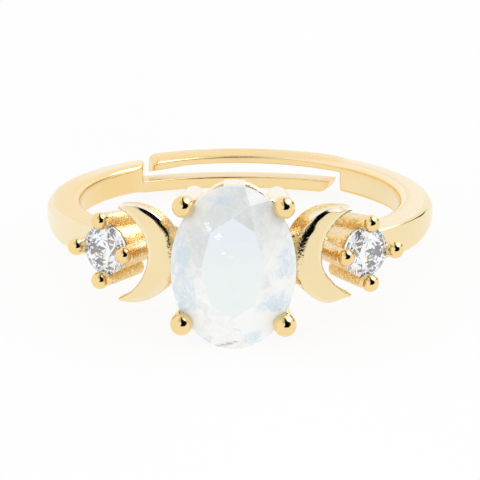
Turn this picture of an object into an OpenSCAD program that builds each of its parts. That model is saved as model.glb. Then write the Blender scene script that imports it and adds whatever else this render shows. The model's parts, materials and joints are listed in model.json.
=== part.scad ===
// Adjustable ring: an oval moonstone between two crescents, and a small clear stone beyond each crescent.
// It is modelled about the finger's axis with its front at -Y, then laid on its side the way it rests:
// on the back of the band and the lower end of the moonstone.

/* [Band] */
// Inner diameter of the band
finger_d = 16.5; // [16:0.1:17.2]
// Thickness of the band, across the finger's radius
band_t = 1.7; // [1.4:0.05:2]
// Width of the band, along the finger
band_w = 1.6; // [1.4:0.05:1.8]
// Rounding of the band's outer edges
band_round = 0.35; // [0.1:0.05:0.45]
// Angle from the front at which the band meets the side settings
shoulder_angle = 41; // [40:1:43]
// Distance along the finger that each half of the band has sprung at the back
spring = 0.08; // [0.02:0.02:0.2]

/* [Overlapping ends] */
// Distance of the steps from the middle of the back
step_x = 5.3; // [4.5:0.05:6]
// Gap between a tongue's end and the other half's step
end_gap = 0.22; // [0.2:0.01:0.5]
// Width of the upper tongue, which belongs to the right half
upper_tongue_w = 0.5; // [0.45:0.01:0.6]
// Width of the lower tongue, which belongs to the left half
lower_tongue_w = 0.62; // [0.55:0.01:0.65]
// Angle that the lower tongue is bent down about a line through its ends
lower_tongue_bend = 4.5; // [1:0.5:5]
// Rounding of the lower tongue's free end, below
tongue_end_round = 0.55; // [0.1:0.05:0.6]
// Angle by which the tongues' ends are cut back inside
tongue_slant = 15; // [0:1:18]

/* [Moonstone] */
// Width of the moonstone
moonstone_w = 6; // [5.8:0.05:6.1]
// Height of the moonstone, along the finger
moonstone_h = 8; // [7.8:0.05:8.1]
// Distance from the finger's surface to the moonstone's girdle
moonstone_out = 3.75; // [3.65:0.05:3.85]
// Angle that the head is tilted up from the band's plane, about the finger's middle
head_tilt = 1.8; // [0:0.1:2]
// How far the moonstone sits below the middle of its prongs
moonstone_drop = 0.13; // [0:0.01:0.15]

/* [Moonstone setting] */
// Sideways distance of the upper prong balls from the middle
upper_prong_x = 2.4; // [2.36:0.01:2.55]
// Sideways distance of the lower prong balls from the middle
lower_prong_x = 2.48; // [2.45:0.01:2.55]
// Height of the upper prong balls above the middle
upper_prong_z = 2.91; // [2.9:0.01:3]
// Depth of the lower prong balls below the middle
lower_prong_z = 2.85; // [2.8:0.01:3]
// Radius of the upper prong balls
upper_ball_r = 0.53; // [0.45:0.01:0.56]
// Radius of the lower prong balls
lower_ball_r = 0.54; // [0.48:0.01:0.56]
// Radius of the prongs where they meet their balls
prong_r = 0.46; // [0.4:0.01:0.48]
// Radius of the prongs at their feet
prong_foot_r = 0.57; // [0.5:0.01:0.6]
// Half width of the gallery rail
rail_x = 2.56; // [2.5:0.01:2.7]
// Half height of the gallery rail
rail_z = 3.78; // [3.75:0.01:3.9]

/* [Crescents] */
// Radius of a crescent's outer curve
crescent_r = 2.42; // [2.4:0.01:2.6]
// Radius of a crescent's hollow curve
hollow_r = 2.44; // [2.3:0.02:2.5]
// Distance between the centres of the two curves
hollow_shift = 1.5; // [1.4:0.05:1.6]
// How far the crescents sit below the middle of the moonstone's prongs
crescent_drop = 0.06; // [0:0.02:0.1]
// Thickness of a crescent
crescent_t = 0.85; // [0.8:0.05:1.2]
// Rounding of a crescent's outer edge
crescent_round = 0.5; // [0.2:0.05:0.5]
// Angle that a crescent's face is turned outwards
crescent_turn = 17; // [12:1:20]

/* [Side settings] */
// Angle of a side setting from the front
side_angle = 35.3; // [35:0.1:36]
// Diameter of a side stone
side_stone_d = 2.5; // [2.4:0.05:2.5]
// Distance from the finger's surface to a side stone's girdle
side_stone_out = 2.7; // [2.65:0.05:2.75]
// How far the side settings sit below the middle of the moonstone's prongs
side_drop = 0.04; // [0:0.01:0.08]
// Distance of a side setting's prong balls from its own axis
side_prong_x = 1.48; // [1.45:0.01:1.55]
// Distance from the finger's surface to the side settings' prong balls
side_prong_out = 3.15; // [3.15:0.05:3.35]
// Radius of the side settings' prong balls
side_ball_r = 0.37; // [0.36:0.01:0.39]

/* [Hidden] */

finger_r = finger_d / 2;
band_r = finger_r + band_t;
gold = [0.93, 0.77, 0.42];
moon_white = [0.86, 0.91, 0.96];
clear_stone = [0.90, 0.93, 0.97];

// Each half turns about a line through the head, so that its end moves along the finger.
spring_pivot_y = -9;
spring_angle = asin(spring / (finger_r - spring_pivot_y));
// The halves are made this much too small inside, and the finger hole then cuts them to one true cylinder.
bore_stock = 0.2;
// Length by which a tongue reaches into the half that it grows from, and by which its slanted end part
// reaches past the middle of the back.
tongue_root = 0.25;
tongue_lap = 1;
// Rounding of the lower tongue's outer edges.
tongue_round = 0.25;
// Distance from the middle of the finger to the upright line about which the tongues' ends are slanted.
slant_y = finger_r + 0.35;
// The line through the lower tongue's ends, about which it is bent down, at the height of its upper face.
bend_y = finger_r - 1.75;
bend_z = -0.23;

// The narrow arc of metal that joins the settings under the head.
base_t = 1.1;
base_w = 0.9;
// A length well past the ring in every direction, for blocks that cut it.
far = 30;

// Gap between a stone and the metal cut to hold it.
seat_gap = 0.04;

// Below, a distance named out is measured outwards from the finger's surface.
moonstone_y = finger_r + moonstone_out;

// The moonstone's prongs: feet, and how far the balls stand in front of the girdle.
prong_foot_x = 2;
prong_foot_z = 2.55;
prong_foot_out = 0.5;
ball_rise = 0.4;

// The gallery rail behind the stone, and the base rail that the prongs stand on.
rail_wall = 0.5;
rail_out = [1.85, 2.3];
base_rail_x = 2.65;
base_rail_z = 3.2;
base_rail_wall = 0.7;
base_rail_out = [0.3, 0.9];

// Tabs that run forward from the gallery rail to the stone, above and below it.
tab_w = 1.04;
tab_t = 0.4;
tab_z = 3.62;
tab_out = [2.1, 3.6];

// Links from the gallery rail to the crescents, each from a point to a point of sideways, out and up.
link_from = [2.2, 2.05, 1.3];
link_to = [3.7, 1.45, 1.3];
link_r = 0.34;

// Feet from the base rail to the arc under the head.
foot_from = [1.9, 0.55, -0.2];
foot_to = [3.3, 0.25, -0.2];
foot_r = 0.3;

// The side settings: collet, its bore, and prongs, whose lowest one stands further out at its foot.
collet_r = [1.05, 1.2];
collet_out = [-0.25, 2.45];
collet_bore_r = 0.5;
collet_bore_out = [-1.25, 1.75];
side_prong_foot_r = 0.48;
side_prong_tip_r = 0.35;
side_prong_foot_x = 1.1;
low_prong_foot_x = 1.36;

// Each cut: height of the crown, depth of the pavilion, half angle of a crown main facet's edge at the
// girdle, and how far the crown leans along the finger for each unit of its height.
moonstone_cut = [1.1, 2.1, 9, 0.18];
side_stone_cut = [0.42, 1.05, 4, 0];

// A crescent's place: the middle of its outer curve, at the level of its upright wall, and the
// distance from that middle to the cut across its horns.
crescent_x = 5.05;
crescent_out = 1.15;
horn_x = 0.51;

// Rings of a stone's corners, as shares of its half width. The girdle's corners lie outside the oval
// outline that trims them.
table_reach = 0.56;
star_reach = 0.79;
girdle_reach = 1.035;
knee_reach = 0.24;
girdle_half = 0.03;

// The back rests on the lower tongue's outer edge, and the front on the moonstone's lowest girdle corner.
edge_dy = band_r - tongue_round - bend_y;
edge_dz = tongue_round - lower_tongue_w;
edge_y = bend_y + edge_dy * cos(lower_tongue_bend) + edge_dz * sin(lower_tongue_bend);
edge_z = bend_z - edge_dy * sin(lower_tongue_bend) + edge_dz * cos(lower_tongue_bend);
girdle_edge = girdle_reach * cos(moonstone_cut[2]);
girdle_back = girdle_half * moonstone_w / 2 + moonstone_cut[1] * (girdle_edge - 1) / girdle_edge;
corner_y = girdle_back - moonstone_y;
corner_z = -moonstone_drop - moonstone_h / 2;
front_y = corner_y * cos(head_tilt) + corner_z * sin(head_tilt);
front_z = -corner_y * sin(head_tilt) + corner_z * cos(head_tilt);
rest_span = norm([edge_y - front_y, edge_z - front_z]);
rest_tilt = atan2(edge_z - front_z, edge_y - front_y) - asin(tongue_round / rest_span);
rest_lift = front_y * sin(rest_tilt) - front_z * cos(rest_tilt);

// The ring's box is centred over the origin. Its front is the table's lowest corner and its back the band's
// upper edge.
table_y = moonstone_y + girdle_half * moonstone_w / 2 + moonstone_cut[0];
table_z = moonstone_drop + table_reach * moonstone_h / 2 - moonstone_cut[3] * (table_y - moonstone_y);
head_lean = head_tilt + rest_tilt;
rest_front = table_y * cos(head_lean) + table_z * sin(head_lean);
rest_back = band_r * cos(rest_tilt) + (band_w / 2 - band_round + spring) * sin(rest_tilt);
rest_y = (rest_front - rest_back) / 2;

// Corners of an ellipse.
function ellipse_points(a, b, n = 48) =
    [for (i = [0 : n - 1]) [a * cos(360 * i / n), b * sin(360 * i / n)]];

// One ring of corners of a cut stone of half width a and half height b, at a height above the girdle.
function corner_ring(a, b, reach, height, angles, lean = 0) =
    [for (t = angles) [a * reach * cos(t), -height, b * reach * sin(t) + lean * height]];

main_angles = [for (k = [0 : 7]) 45 * k];
half_angles = [for (k = [0 : 7]) 45 * k + 22.5];

// The girdle's sixteen corners: each crown main facet ends in an edge between two of them.
function girdle_angles(spread) = [for (k = [0 : 7], s = [-1, 1]) 45 * k + s * spread];

// Height of the star corners that keeps each crown main facet flat.
function star_height(crown, spread) =
    let (edge = girdle_reach * cos(spread)) crown * (edge - star_reach * cos(22.5)) / (edge - table_reach);

// Depth of the knees that keeps each pavilion main facet flat.
function knee_depth(pavilion, spread) =
    let (edge = girdle_reach * cos(spread)) pavilion * (edge - knee_reach * cos(22.5)) / edge;

// Faceted stone with its table towards -Y and its girdle at y = 0. grow widens it to cut its seat.
module cut_stone(w, h, cut, grow = 0) {
    a = w / 2 + grow;
    b = h / 2 + grow;
    g = girdle_half * w / 2 + grow / 2;
    high = cut[0] + grow;
    deep = cut[1] + grow;
    spread = cut[2];
    stars = corner_ring(a, b, star_reach, g + star_height(high, spread), half_angles, cut[3]);
    table = corner_ring(a, b, table_reach, g + high, main_angles, cut[3]);
    upper = corner_ring(a, b, girdle_reach, g, girdle_angles(spread));
    lower = corner_ring(a, b, girdle_reach, -g, girdle_angles(spread));
    knees = corner_ring(a, b, knee_reach, -g - knee_depth(deep, spread), half_angles);
    culet = [[0, g + deep, 0]];
    // Corners by number: stars 0 to 7, table 8 to 15, upper girdle 16 to 31, lower girdle 32 to 47,
    // knees 48 to 55 and culet 56.
    faces = [
        [for (k = [7 : -1 : 0]) 8 + k],
        for (k = [0 : 7]) let (n = (k + 1) % 8) [8 + k, 8 + n, k],
        for (k = [0 : 7]) let (p = (k + 7) % 8) [8 + k, k, 17 + 2 * k, 16 + 2 * k, p],
        for (k = [0 : 7]) let (n = (k + 1) % 8) [k, 16 + 2 * n, 17 + 2 * k],
        for (i = [0 : 15]) let (n = (i + 1) % 16) [16 + i, 16 + n, 32 + n, 32 + i],
        for (k = [0 : 7]) let (n = (k + 1) % 8) [33 + 2 * k, 32 + 2 * n, 48 + k],
        for (k = [0 : 7]) let (p = (k + 7) % 8) [32 + 2 * k, 33 + 2 * k, 48 + k, 56, 48 + p]
    ];
    intersection() {
        polyhedron(concat(stars, table, upper, lower, knees, culet), faces);
        rotate([90, 0, 0])
            linear_extrude(height = 2 * deep, center = true)
                polygon(ellipse_points(a, b));
    }
}

// Tilts the head up from the band's plane.
module at_head() {
    rotate([-head_tilt, 0, 0]) children();
}

module moonstone_shape(grow = 0) {
    at_head()
        translate([0, -moonstone_y, -moonstone_drop])
            cut_stone(moonstone_w, moonstone_h, moonstone_cut, grow);
}

module side_stone_shape(side, grow = 0) {
    at_head()
        rotate([0, 0, side * side_angle])
            translate([0, -finger_r - side_stone_out, -side_drop])
                cut_stone(side_stone_d, side_stone_d, side_stone_cut, grow);
}

// Round bar from one point to another.
module bar(from, to, r1, r2) {
    d = to - from;
    translate(from)
        rotate([0, acos(d[2] / norm(d)), atan2(d[1], d[0])])
            cylinder(h = norm(d), r1 = r1, r2 = r2, $fn = 48);
}

// Bar that ends in a ball.
module ball_prong(from, to, r1, r2, ball_r) {
    bar(from, to, r1, r2);
    translate(to) sphere(r = ball_r, $fn = 48);
}

// Full ring of the band's thickness, with rounded outer edges.
module band_ring(w, round_r) {
    low_x = finger_r - bore_stock;
    flat_w = w - 2 * round_r;
    rotate_extrude($fn = 180) {
        translate([low_x, -w / 2]) square([band_r - round_r - low_x, w]);
        translate([low_x, -flat_w / 2]) square([band_r - low_x, flat_w]);
        for (s = [-1, 1])
            translate([band_r - round_r, s * flat_w / 2]) circle(r = round_r, $fn = 48);
    }
}

// Block over one side of the band, behind the shoulders only.
module half_mask(side) {
    reach = far * [sin(shoulder_angle), -cos(shoulder_angle)];
    linear_extrude(height = far, center = true)
        polygon([[0, 0], [side * reach[0], reach[1]], [side * far, reach[1]], [side * far, far], [0, far]]);
}

// Block behind the finger, between two distances from the middle and two heights.
module back_block(x1, x2, z1, z2) {
    translate([x1, 0, z1]) cube([x2 - x1, far, z2 - z1]);
}

// Slants the end of a tongue that stands at a distance from the middle.
module slanted(x) {
    side = x > 0 ? 1 : -1;
    translate([x, slant_y, 0])
        rotate([0, 0, -side * tongue_slant])
            translate([-x, -slant_y, 0])
                children();
}

// Turns one half of the band about the line through the head.
module sprung(side) {
    translate([0, spring_pivot_y, 0])
        rotate([side * spring_angle, 0, 0])
            translate([0, -spring_pivot_y, 0])
                children();
}

// Right half of the band, whose tongue is the upper part of its own section.
module right_half() {
    end_x = end_gap - step_x;
    split_z = band_w / 2 - upper_tongue_w;
    sprung(1)
        intersection() {
            band_ring(band_w, band_round);
            union() {
                difference() {
                    half_mask(1);
                    back_block(0, step_x, -far, far);
                }
                back_block(0, step_x + tongue_root, split_z, far);
                slanted(end_x) back_block(end_x, tongue_lap, split_z, far);
            }
        }
}

// Left half of the band, up to its step.
module left_half() {
    sprung(-1)
        intersection() {
            band_ring(band_w, band_round);
            difference() {
                half_mask(-1);
                back_block(-step_x, 0, -far, far);
            }
        }
}

// Tongue of the left half, bent down about the line through its ends. The corner of its free end is rounded.
module lower_tongue() {
    r = tongue_end_round;
    end_x = step_x - end_gap;
    round_z = bend_z - lower_tongue_w + r;
    intersection() {
        translate([0, bend_y, bend_z])
            rotate([-lower_tongue_bend, 0, 0])
                translate([0, -bend_y, -lower_tongue_w / 2])
                    band_ring(lower_tongue_w, tongue_round);
        union() {
            back_block(-step_x - tongue_root, 0, -far / 2, far / 2);
            slanted(end_x) {
                back_block(-tongue_lap, end_x - r, -far / 2, far / 2);
                back_block(end_x - r, end_x, round_z, far / 2);
                translate([end_x - r, 0, round_z])
                    rotate([-90, 0, 0])
                        cylinder(r = r, h = far, $fn = 48);
            }
        }
    }
}

// Arc of metal under the head, from one shoulder to the other.
module base_arc() {
    reach = far * [sin(shoulder_angle + 2), -cos(shoulder_angle + 2)];
    at_head()
        intersection() {
            rotate_extrude($fn = 180)
                translate([finger_r - bore_stock, -base_w / 2]) square([base_t + bore_stock, base_w]);
            linear_extrude(height = far, center = true)
                polygon([[0, 0], [-reach[0], reach[1]], [reach[0], reach[1]]]);
        }
}

// Place under the head: sideways, outwards from the finger's surface, and up.
function head_point(p) = [p[0], -finger_r - p[1], p[2]];

// Flat oval rail around the moonstone's axis, between two distances from the finger's surface.
module rail(a, b, wall, out) {
    translate(head_point([0, out[0], 0]))
        rotate([90, 0, 0])
            linear_extrude(height = out[1] - out[0])
                difference() {
                    polygon(ellipse_points(a, b));
                    polygon(ellipse_points(a - wall, b - wall));
                }
}

module moonstone_setting() {
    at_head() {
        for (sx = [-1, 1], sz = [-1, 1])
            ball_prong(head_point([sx * prong_foot_x, prong_foot_out, sz * prong_foot_z]),
                sz > 0
                    ? head_point([sx * upper_prong_x, moonstone_out + ball_rise, upper_prong_z])
                    : head_point([sx * lower_prong_x, moonstone_out + ball_rise, -lower_prong_z]),
                prong_foot_r, prong_r, sz > 0 ? upper_ball_r : lower_ball_r);
        rail(rail_x, rail_z, rail_wall, rail_out);
        rail(base_rail_x, base_rail_z, base_rail_wall, base_rail_out);
        for (sz = [-1, 1])
            translate(head_point([-tab_w / 2, tab_out[1], sz * tab_z - tab_t / 2]))
                cube([tab_w, tab_out[1] - tab_out[0], tab_t]);
        for (sx = [-1, 1], sz = [-1, 1])
            scale([sx, 1, sz])
                bar(head_point(link_from), head_point(link_to), link_r, link_r);
        for (sx = [-1, 1])
            scale([sx, 1, 1])
                bar(head_point(foot_from), head_point(foot_to), foot_r, foot_r);
    }
}

// Half section of the disc that a crescent is cut from.
module crescent_section() {
    square([crescent_r, crescent_t - crescent_round]);
    square([crescent_r - crescent_round, crescent_t]);
    translate([crescent_r - crescent_round, crescent_t - crescent_round])
        circle(r = crescent_round, $fn = 48);
}

// Crescent plate with a rounded outer edge, horns pointing away from the moonstone.
module crescent(side) {
    cut_h = crescent_t + 2;
    at_head()
        translate(head_point([side * crescent_x, crescent_out, -crescent_drop]))
            rotate([0, 0, side * crescent_turn])
                rotate([90, 0, 0])
                    difference() {
                        translate([0, 0, crescent_round - crescent_t])
                            rotate_extrude($fn = 120)
                                crescent_section();
                        translate([side * hollow_shift, 0, -crescent_t])
                            cylinder(r = hollow_r, h = cut_h, $fn = 120);
                        translate([side * (horn_x + crescent_r), 0, 0])
                            cube([2 * crescent_r, 3 * crescent_r, 2 * cut_h], center = true);
                    }
}

// Collet and four ball prongs of one side stone. The lowest prong runs straight back, the rest lean in.
module side_setting(side) {
    at_head()
        rotate([0, 0, side * side_angle])
            translate([0, 0, -side_drop]) {
                difference() {
                    bar(head_point([0, collet_out[0], 0]), head_point([0, collet_out[1], 0]),
                        collet_r[0], collet_r[1]);
                    bar(head_point([0, collet_bore_out[0], 0]), head_point([0, collet_bore_out[1], 0]),
                        collet_bore_r, collet_bore_r);
                }
                for (t = [0, 90, 180, 270]) {
                    foot = t == 270 ? low_prong_foot_x : side_prong_foot_x;
                    ball_prong(head_point([foot * cos(t), collet_out[0], foot * sin(t)]),
                        head_point([side_prong_x * cos(t), side_prong_out, side_prong_x * sin(t)]),
                        side_prong_foot_r, side_prong_tip_r, side_ball_r);
                }
            }
}

// Lays the ring on its side, its box centred over the origin.
module at_rest() {
    translate([0, rest_y, rest_lift]) rotate([-rest_tilt, 0, 0]) children();
}

module band_and_settings() {
    color(gold)
        at_rest()
            difference() {
                union() {
                    left_half();
                    lower_tongue();
                    right_half();
                    base_arc();
                    moonstone_setting();
                    for (side = [-1, 1]) {
                        crescent(side);
                        side_setting(side);
                    }
                }
                cylinder(r = finger_r, h = far, center = true, $fn = 180);
                moonstone_shape(seat_gap);
                for (side = [-1, 1]) side_stone_shape(side, seat_gap);
            }
}

module moonstone() {
    color(moon_white) at_rest() moonstone_shape();
}

module side_stone_left() {
    color(clear_stone) at_rest() side_stone_shape(-1);
}

module side_stone_right() {
    color(clear_stone) at_rest() side_stone_shape(1);
}

band_and_settings();
moonstone();
side_stone_left();
side_stone_right();
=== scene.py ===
"""Moonstone ring: its metal, stones and studio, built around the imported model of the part."""

import json
import math

import bmesh
import bpy
from bpy.props import FloatProperty, FloatVectorProperty, IntProperty, PointerProperty
from mathutils import Matrix, Vector


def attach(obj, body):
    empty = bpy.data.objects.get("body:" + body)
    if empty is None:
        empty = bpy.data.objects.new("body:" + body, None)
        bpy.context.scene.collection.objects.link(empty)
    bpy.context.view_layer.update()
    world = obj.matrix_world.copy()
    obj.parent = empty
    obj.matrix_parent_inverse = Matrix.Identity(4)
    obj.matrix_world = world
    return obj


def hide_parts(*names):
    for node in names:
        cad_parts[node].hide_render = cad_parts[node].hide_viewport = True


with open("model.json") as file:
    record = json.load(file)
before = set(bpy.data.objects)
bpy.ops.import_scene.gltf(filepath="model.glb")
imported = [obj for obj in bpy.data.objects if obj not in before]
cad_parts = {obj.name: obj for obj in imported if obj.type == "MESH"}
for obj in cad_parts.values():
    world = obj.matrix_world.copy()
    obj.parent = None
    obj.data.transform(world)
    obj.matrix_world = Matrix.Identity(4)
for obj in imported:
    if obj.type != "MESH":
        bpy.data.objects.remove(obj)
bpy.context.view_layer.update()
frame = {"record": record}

bl_info = {
    "name": "Moonstone ring",
    "version": (1, 0, 0),
    "blender": (4, 5, 0),
    "location": "View3D > Sidebar > Ring",
    "description": "Builds a moonstone ring with crescents and overlapping band ends",
    "category": "Add Mesh",
}

# Shapes are drawn in millimetres about the finger's axis, with the moonstone towards -Y, and are then laid
# down in metres as the ring rests.
MM = 0.001
HOLE = frame["record"]["mounts"][0]
REST_TILT = math.atan2(HOLE["axis"][1], HOLE["axis"][2])
CENTRE = Vector(HOLE["pos_m"])
REST = Matrix.Translation(CENTRE) @ Matrix.Rotation(-REST_TILT, 4, "X") @ Matrix.Scale(MM, 4)


# Sizes and colours

def length(name, text, value):
    """A length property, given in millimetres."""
    return FloatProperty(name=name, description=text, default=value * MM, min=0, precision=5, unit="LENGTH")


def angle(name, text, degrees):
    """An angle property, given in degrees."""
    return FloatProperty(name=name, description=text, default=math.radians(degrees), unit="ROTATION")


def share(name, text, value):
    """A share of one."""
    return FloatProperty(name=name, description=text, default=value, min=0, max=1, subtype="FACTOR")


def colour(name, text, rgb):
    """A linear colour property."""
    return FloatVectorProperty(name=name, description=text, default=rgb, min=0, max=1, subtype="COLOR")


class RingBandSizes(bpy.types.PropertyGroup):
    finger: length("Finger hole", "Inner diameter of the band", HOLE["dims"]["r_mm"] * 2)
    thick: length("Thickness", "Thickness of the band across the finger's radius", 1.7)
    wide: length("Width", "Width of the band along the finger", 1.6)
    outer_edge: length("Outer edges", "Rounding of the outer edges at the sides", 0.75)
    inner_edge: length("Inner edges", "Height of the rounding of the inner edges", 0.32)
    inner_dome: length("Inner dome", "Width over which the side faces round off towards the finger", 0.55)
    upper_dome: length("Upper tongue's dome", "The same on the upper tongue", 1.2)
    upper_dome_high: length("Upper dome height", "Height of the upper tongue's dome", 0.2)
    lower_dome: length("Lower tongue's dome", "The same on the lower tongue", 0.12)
    lower_dome_high: length("Lower dome height", "Height of the lower tongue's dome", 0.08)
    ridge: length("Ridge", "Rounding of the outer edges near the shoulders", 0.19)
    corner: length("Corners", "Rounding of the steps' free corners", 0.25)
    deeper: length("Deeper", "How much lower the right half lies beside its step", 0.13)
    cut_edge: length("Cut edges", "Rounding of the edges of the steps and tongues", 0.11)
    shoulder: angle("Shoulder", "Angle from the front at which the band ends", 44)
    shoulder_edge: length("Shoulder edge", "Rounding of the band's front ends", 0.35)
    step: length("Step", "Distance of the steps from the middle of the overlap", 5.3)
    aside: length("Aside", "How far the overlap lies to the left", 0.09)
    end_gap: length("End gap", "Gap between a tongue's end and the other half's step", 0.16)
    upper_tongue: length("Upper tongue", "Width of the upper tongue", 0.5)
    lower_tongue: length("Lower tongue", "Width of the lower tongue", 0.63)
    upper_end: length("Upper tongue's end", "Rounding of the corner of the upper tongue's end", 0.3)
    lower_end: length("Lower tongue's end", "Rounding of the corner of the lower tongue's end", 0.6)
    bend: angle("Bend", "Angle that the lower tongue is bent down", 4.5)
    slant: angle("Slant", "Angle by which the tongues' ends are cut back inside", 15)
    slit: length("Slit slope", "How much lower the upper tongue's lower face lies outside than inside", 0.27)
    slit_end: length("Slit slope at the end", "The same at the tongue's end", 0.5)
    end_wider: length("Wider end", "How much wider the upper tongue is at its end", 0.08)
    spring: length("Spring", "Distance along the finger that each half has sprung at the back", 0.08)
    base_thick: length("Base thickness", "Thickness of the base arc across the finger's radius", 1.1)
    base_wide: length("Base width", "Width of the base arc along the finger", 0.9)
    base_edge: length("Base edges", "Rounding of the base arc's edges", 0.15)


class RingHeadSizes(bpy.types.PropertyGroup):
    tilt: angle("Tilt", "Angle that the head is tilted up from the band", 1.8)
    stone_wide: length("Moonstone width", "Width of the moonstone", 6)
    stone_high: length("Moonstone height", "Height of the moonstone", 8)
    table_wide: share("Table width", "Width of the moonstone's table as a share of the stone's", 0.505)
    table_high: share("Table height", "Height of the moonstone's table as a share of the stone's", 0.62)
    stone_out: length("Moonstone out", "Distance from the finger's surface to the moonstone's girdle", 3.75)
    stone_drop: length("Moonstone drop", "How far the moonstone sits below the middle of its prongs", 0.13)
    upper_x: length("Upper spread", "Sideways distance of the upper balls from the middle", 2.4)
    lower_x: length("Lower spread", "Sideways distance of the lower balls from the middle", 2.48)
    upper_z: length("Upper prongs", "Height of the upper balls above the middle", 2.91)
    lower_z: length("Lower prongs", "Depth of the lower balls below the middle", 2.85)
    upper_ball: length("Upper balls", "Radius of the upper balls", 0.53)
    lower_ball: length("Lower balls", "Radius of the lower balls", 0.54)
    foot_r: length("Prong feet", "Radius of the prongs at their feet", 0.57)
    tip_r: length("Prong tips", "Radius of the prongs behind their balls", 0.46)
    rail_x: length("Rail half width", "Half width of the gallery rail", 2.56)
    rail_z: length("Rail half height", "Half height of the gallery rail", 3.78)


class RingCrescentSizes(bpy.types.PropertyGroup):
    outer: length("Outer curve", "Radius of the outer curve", 2.42)
    hollow: length("Hollow curve", "Radius of the hollow curve", 2.44)
    shift: length("Shift", "Distance between the centres of the two curves", 1.5)
    horn: length("Horns", "Distance from the outer curve's centre to the blunt ends of the horns", 0.5)
    thick: length("Thickness", "Thickness of a crescent", 0.85)
    edge: length("Outer edge", "Distance from the mounting level to the face", 0.5)
    kink: angle("Kink", "Slope at which the left crescent's edge leaves the face near its upper horn", 34)
    bevel: angle("Bevel", "Slope of the flatter part of the left crescent's edge", 30)
    lip: length("Rim", "Rounding of the edge along the hollow", 0.1)
    turn: angle("Turn", "Angle that the face is turned outwards", 17)
    across: length("Sideways", "Sideways distance of a crescent's centre", 5.0)
    flare: length("Flare", "How much wider the right crescent is at its back, towards the moonstone", 0.3)
    out: length("Outwards", "Distance of a crescent from the finger's surface", 1.15)
    drop: length("Drop", "How far the crescents sit below the middle", 0.06)


class RingSideSizes(bpy.types.PropertyGroup):
    around: angle("Angle", "Angle of a side setting from the front", 35.3)
    stone: length("Stone", "Diameter of a side stone", 2.5)
    stone_out: length("Stone out", "Distance from the finger's surface to a side stone's girdle", 2.7)
    drop: length("Drop", "How far the side settings sit below the middle", 0.04)
    prong: length("Prong spread", "Distance of the balls from the setting's own axis", 1.48)
    prong_out: length("Prong reach", "Distance from the finger's surface to the balls", 3.15)
    ball: length("Balls", "Radius of the balls", 0.435)
    foot_r: length("Prong feet", "Radius of the prongs at their feet", 0.47)
    tip_r: length("Prong tips", "Radius of the prongs behind their balls", 0.385)
    low_aside: length("Lowest foot", "How far the lowest prong's foot stands away from the crescent", 0.25)


class RingFinishes(bpy.types.PropertyGroup):
    gold: colour("Gold", "Polished gold plate", (0.93, 0.765, 0.45))
    # Paler than the gold partly as a painted highlight of the satin faces.
    satin: colour("Satin gold", "Side faces of the band", (0.95, 0.82, 0.58))
    # Rough unpolished gold, whose deeper colour is also painted shade under things, in recesses and between
    # parts.
    cast: colour("Cast gold", "Rough gold in the deep places", (0.94, 0.62, 0.19))
    # Painted light: the lit upper sides of the prongs and rails, and highlights on the crescents.
    pale: colour("Pale gold", "Upper sides of the prongs and rails", (0.97, 0.90, 0.78))
    milk: colour("Moonstone", "Milky body of the moonstone", (0.92, 0.92, 0.91))
    # Painted sheen: the moonstone's blue patches.
    sheen: colour("Blue patches", "Blue patches of the moonstone", (0.58, 0.72, 0.83))
    # Painted shade: the darker facets of the moonstone's crown.
    grey: colour("Grey facets", "Darker facets of the moonstone's crown", (0.68, 0.71, 0.71))
    cream: colour("Warm clouds", "Warm clouds in the moonstone's crown", (0.93, 0.91, 0.86))
    brown: colour("Brown streak", "Streak near the moonstone's lower end", (0.50, 0.42, 0.36))
    table_low: colour("Lower table", "Lower part of the moonstone's table", (0.763, 0.817, 0.807))
    table_high: colour("Upper table", "Upper part of the moonstone's table", (0.729, 0.777, 0.847))
    wisp: colour("Wisps", "Pale wisps across the moonstone's table", (0.84, 0.87, 0.86))
    yellow: colour("Yellow mark", "Small mark in the moonstone's table", (0.95, 0.88, 0.62))
    # Painted highlight along the rounding of the finger hole.
    glint: colour("Glint", "Brightest gold, on the rounding of the finger hole", (1.0, 0.92, 0.74))
    clear: colour("Clear stones", "Body of the side stones", (0.98, 0.985, 1.0))
    hazy: colour("Hazy places", "Hazy places in the side stones", (0.93, 0.95, 0.98))
    # Painted light: colours of the side stones' faint glow.
    glow_low: colour("Darker sparkle", "Darker sparkle in the side stones", (0.50, 0.58, 0.75))
    glow_high: colour("Lighter sparkle", "Lighter sparkle in the side stones", (0.85, 0.92, 1.0))
    paper_low: colour("Darker paper", "Darker places of the floor", (0.10, 0.10, 0.10))
    paper_high: colour("Lighter paper", "Lighter places of the floor", (0.13, 0.13, 0.13))


class RingStudio(bpy.types.PropertyGroup):
    distance: length("Camera distance", "Distance of the camera from the ring's centre", 150)
    above: angle("Camera elevation", "Elevation of the camera", 14.76 + math.degrees(REST_TILT))
    around: angle("Camera azimuth", "Azimuth of the camera towards +X", 1.49)
    lens: FloatProperty(name="Lens", description="Focal length", default=217.45, min=1, unit="CAMERA")
    low: length("Aim", "How far below the ring's centre the camera aims", 1.63)
    floor: FloatProperty(name="Floor", description="Half width of the floor", default=1.5, unit="LENGTH")
    seed: IntProperty(name="Seed", description="Seed of the patterns", default=7)


def in_mm(group):
    """The values of a group, with its lengths in millimetres."""
    values = {}
    for key in group.__annotations__:
        prop = group.bl_rna.properties[key]
        value = getattr(group, key)
        values[key] = value / MM if getattr(prop, "unit", "") == "LENGTH" else value
    return type("Sizes", (), values)


def sizes(name):
    """The values of one of the ring's groups, in millimetres."""
    return in_mm(getattr(bpy.context.scene, "ring_" + name))


def smooth(x, low, high):
    """Smooth step from 0 at low to 1 at high."""
    t = min(max((x - low) / (high - low), 0), 1)
    return t * t * (3 - 2 * t)


def fading(x, low, high):
    """Smooth step from 1 at low to 0 at high."""
    return 1 - smooth(x, low, high)


def mix(a, b, t):
    """Value at a share t of the way from a to b."""
    return a + (b - a) * t


# Meshes

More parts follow.
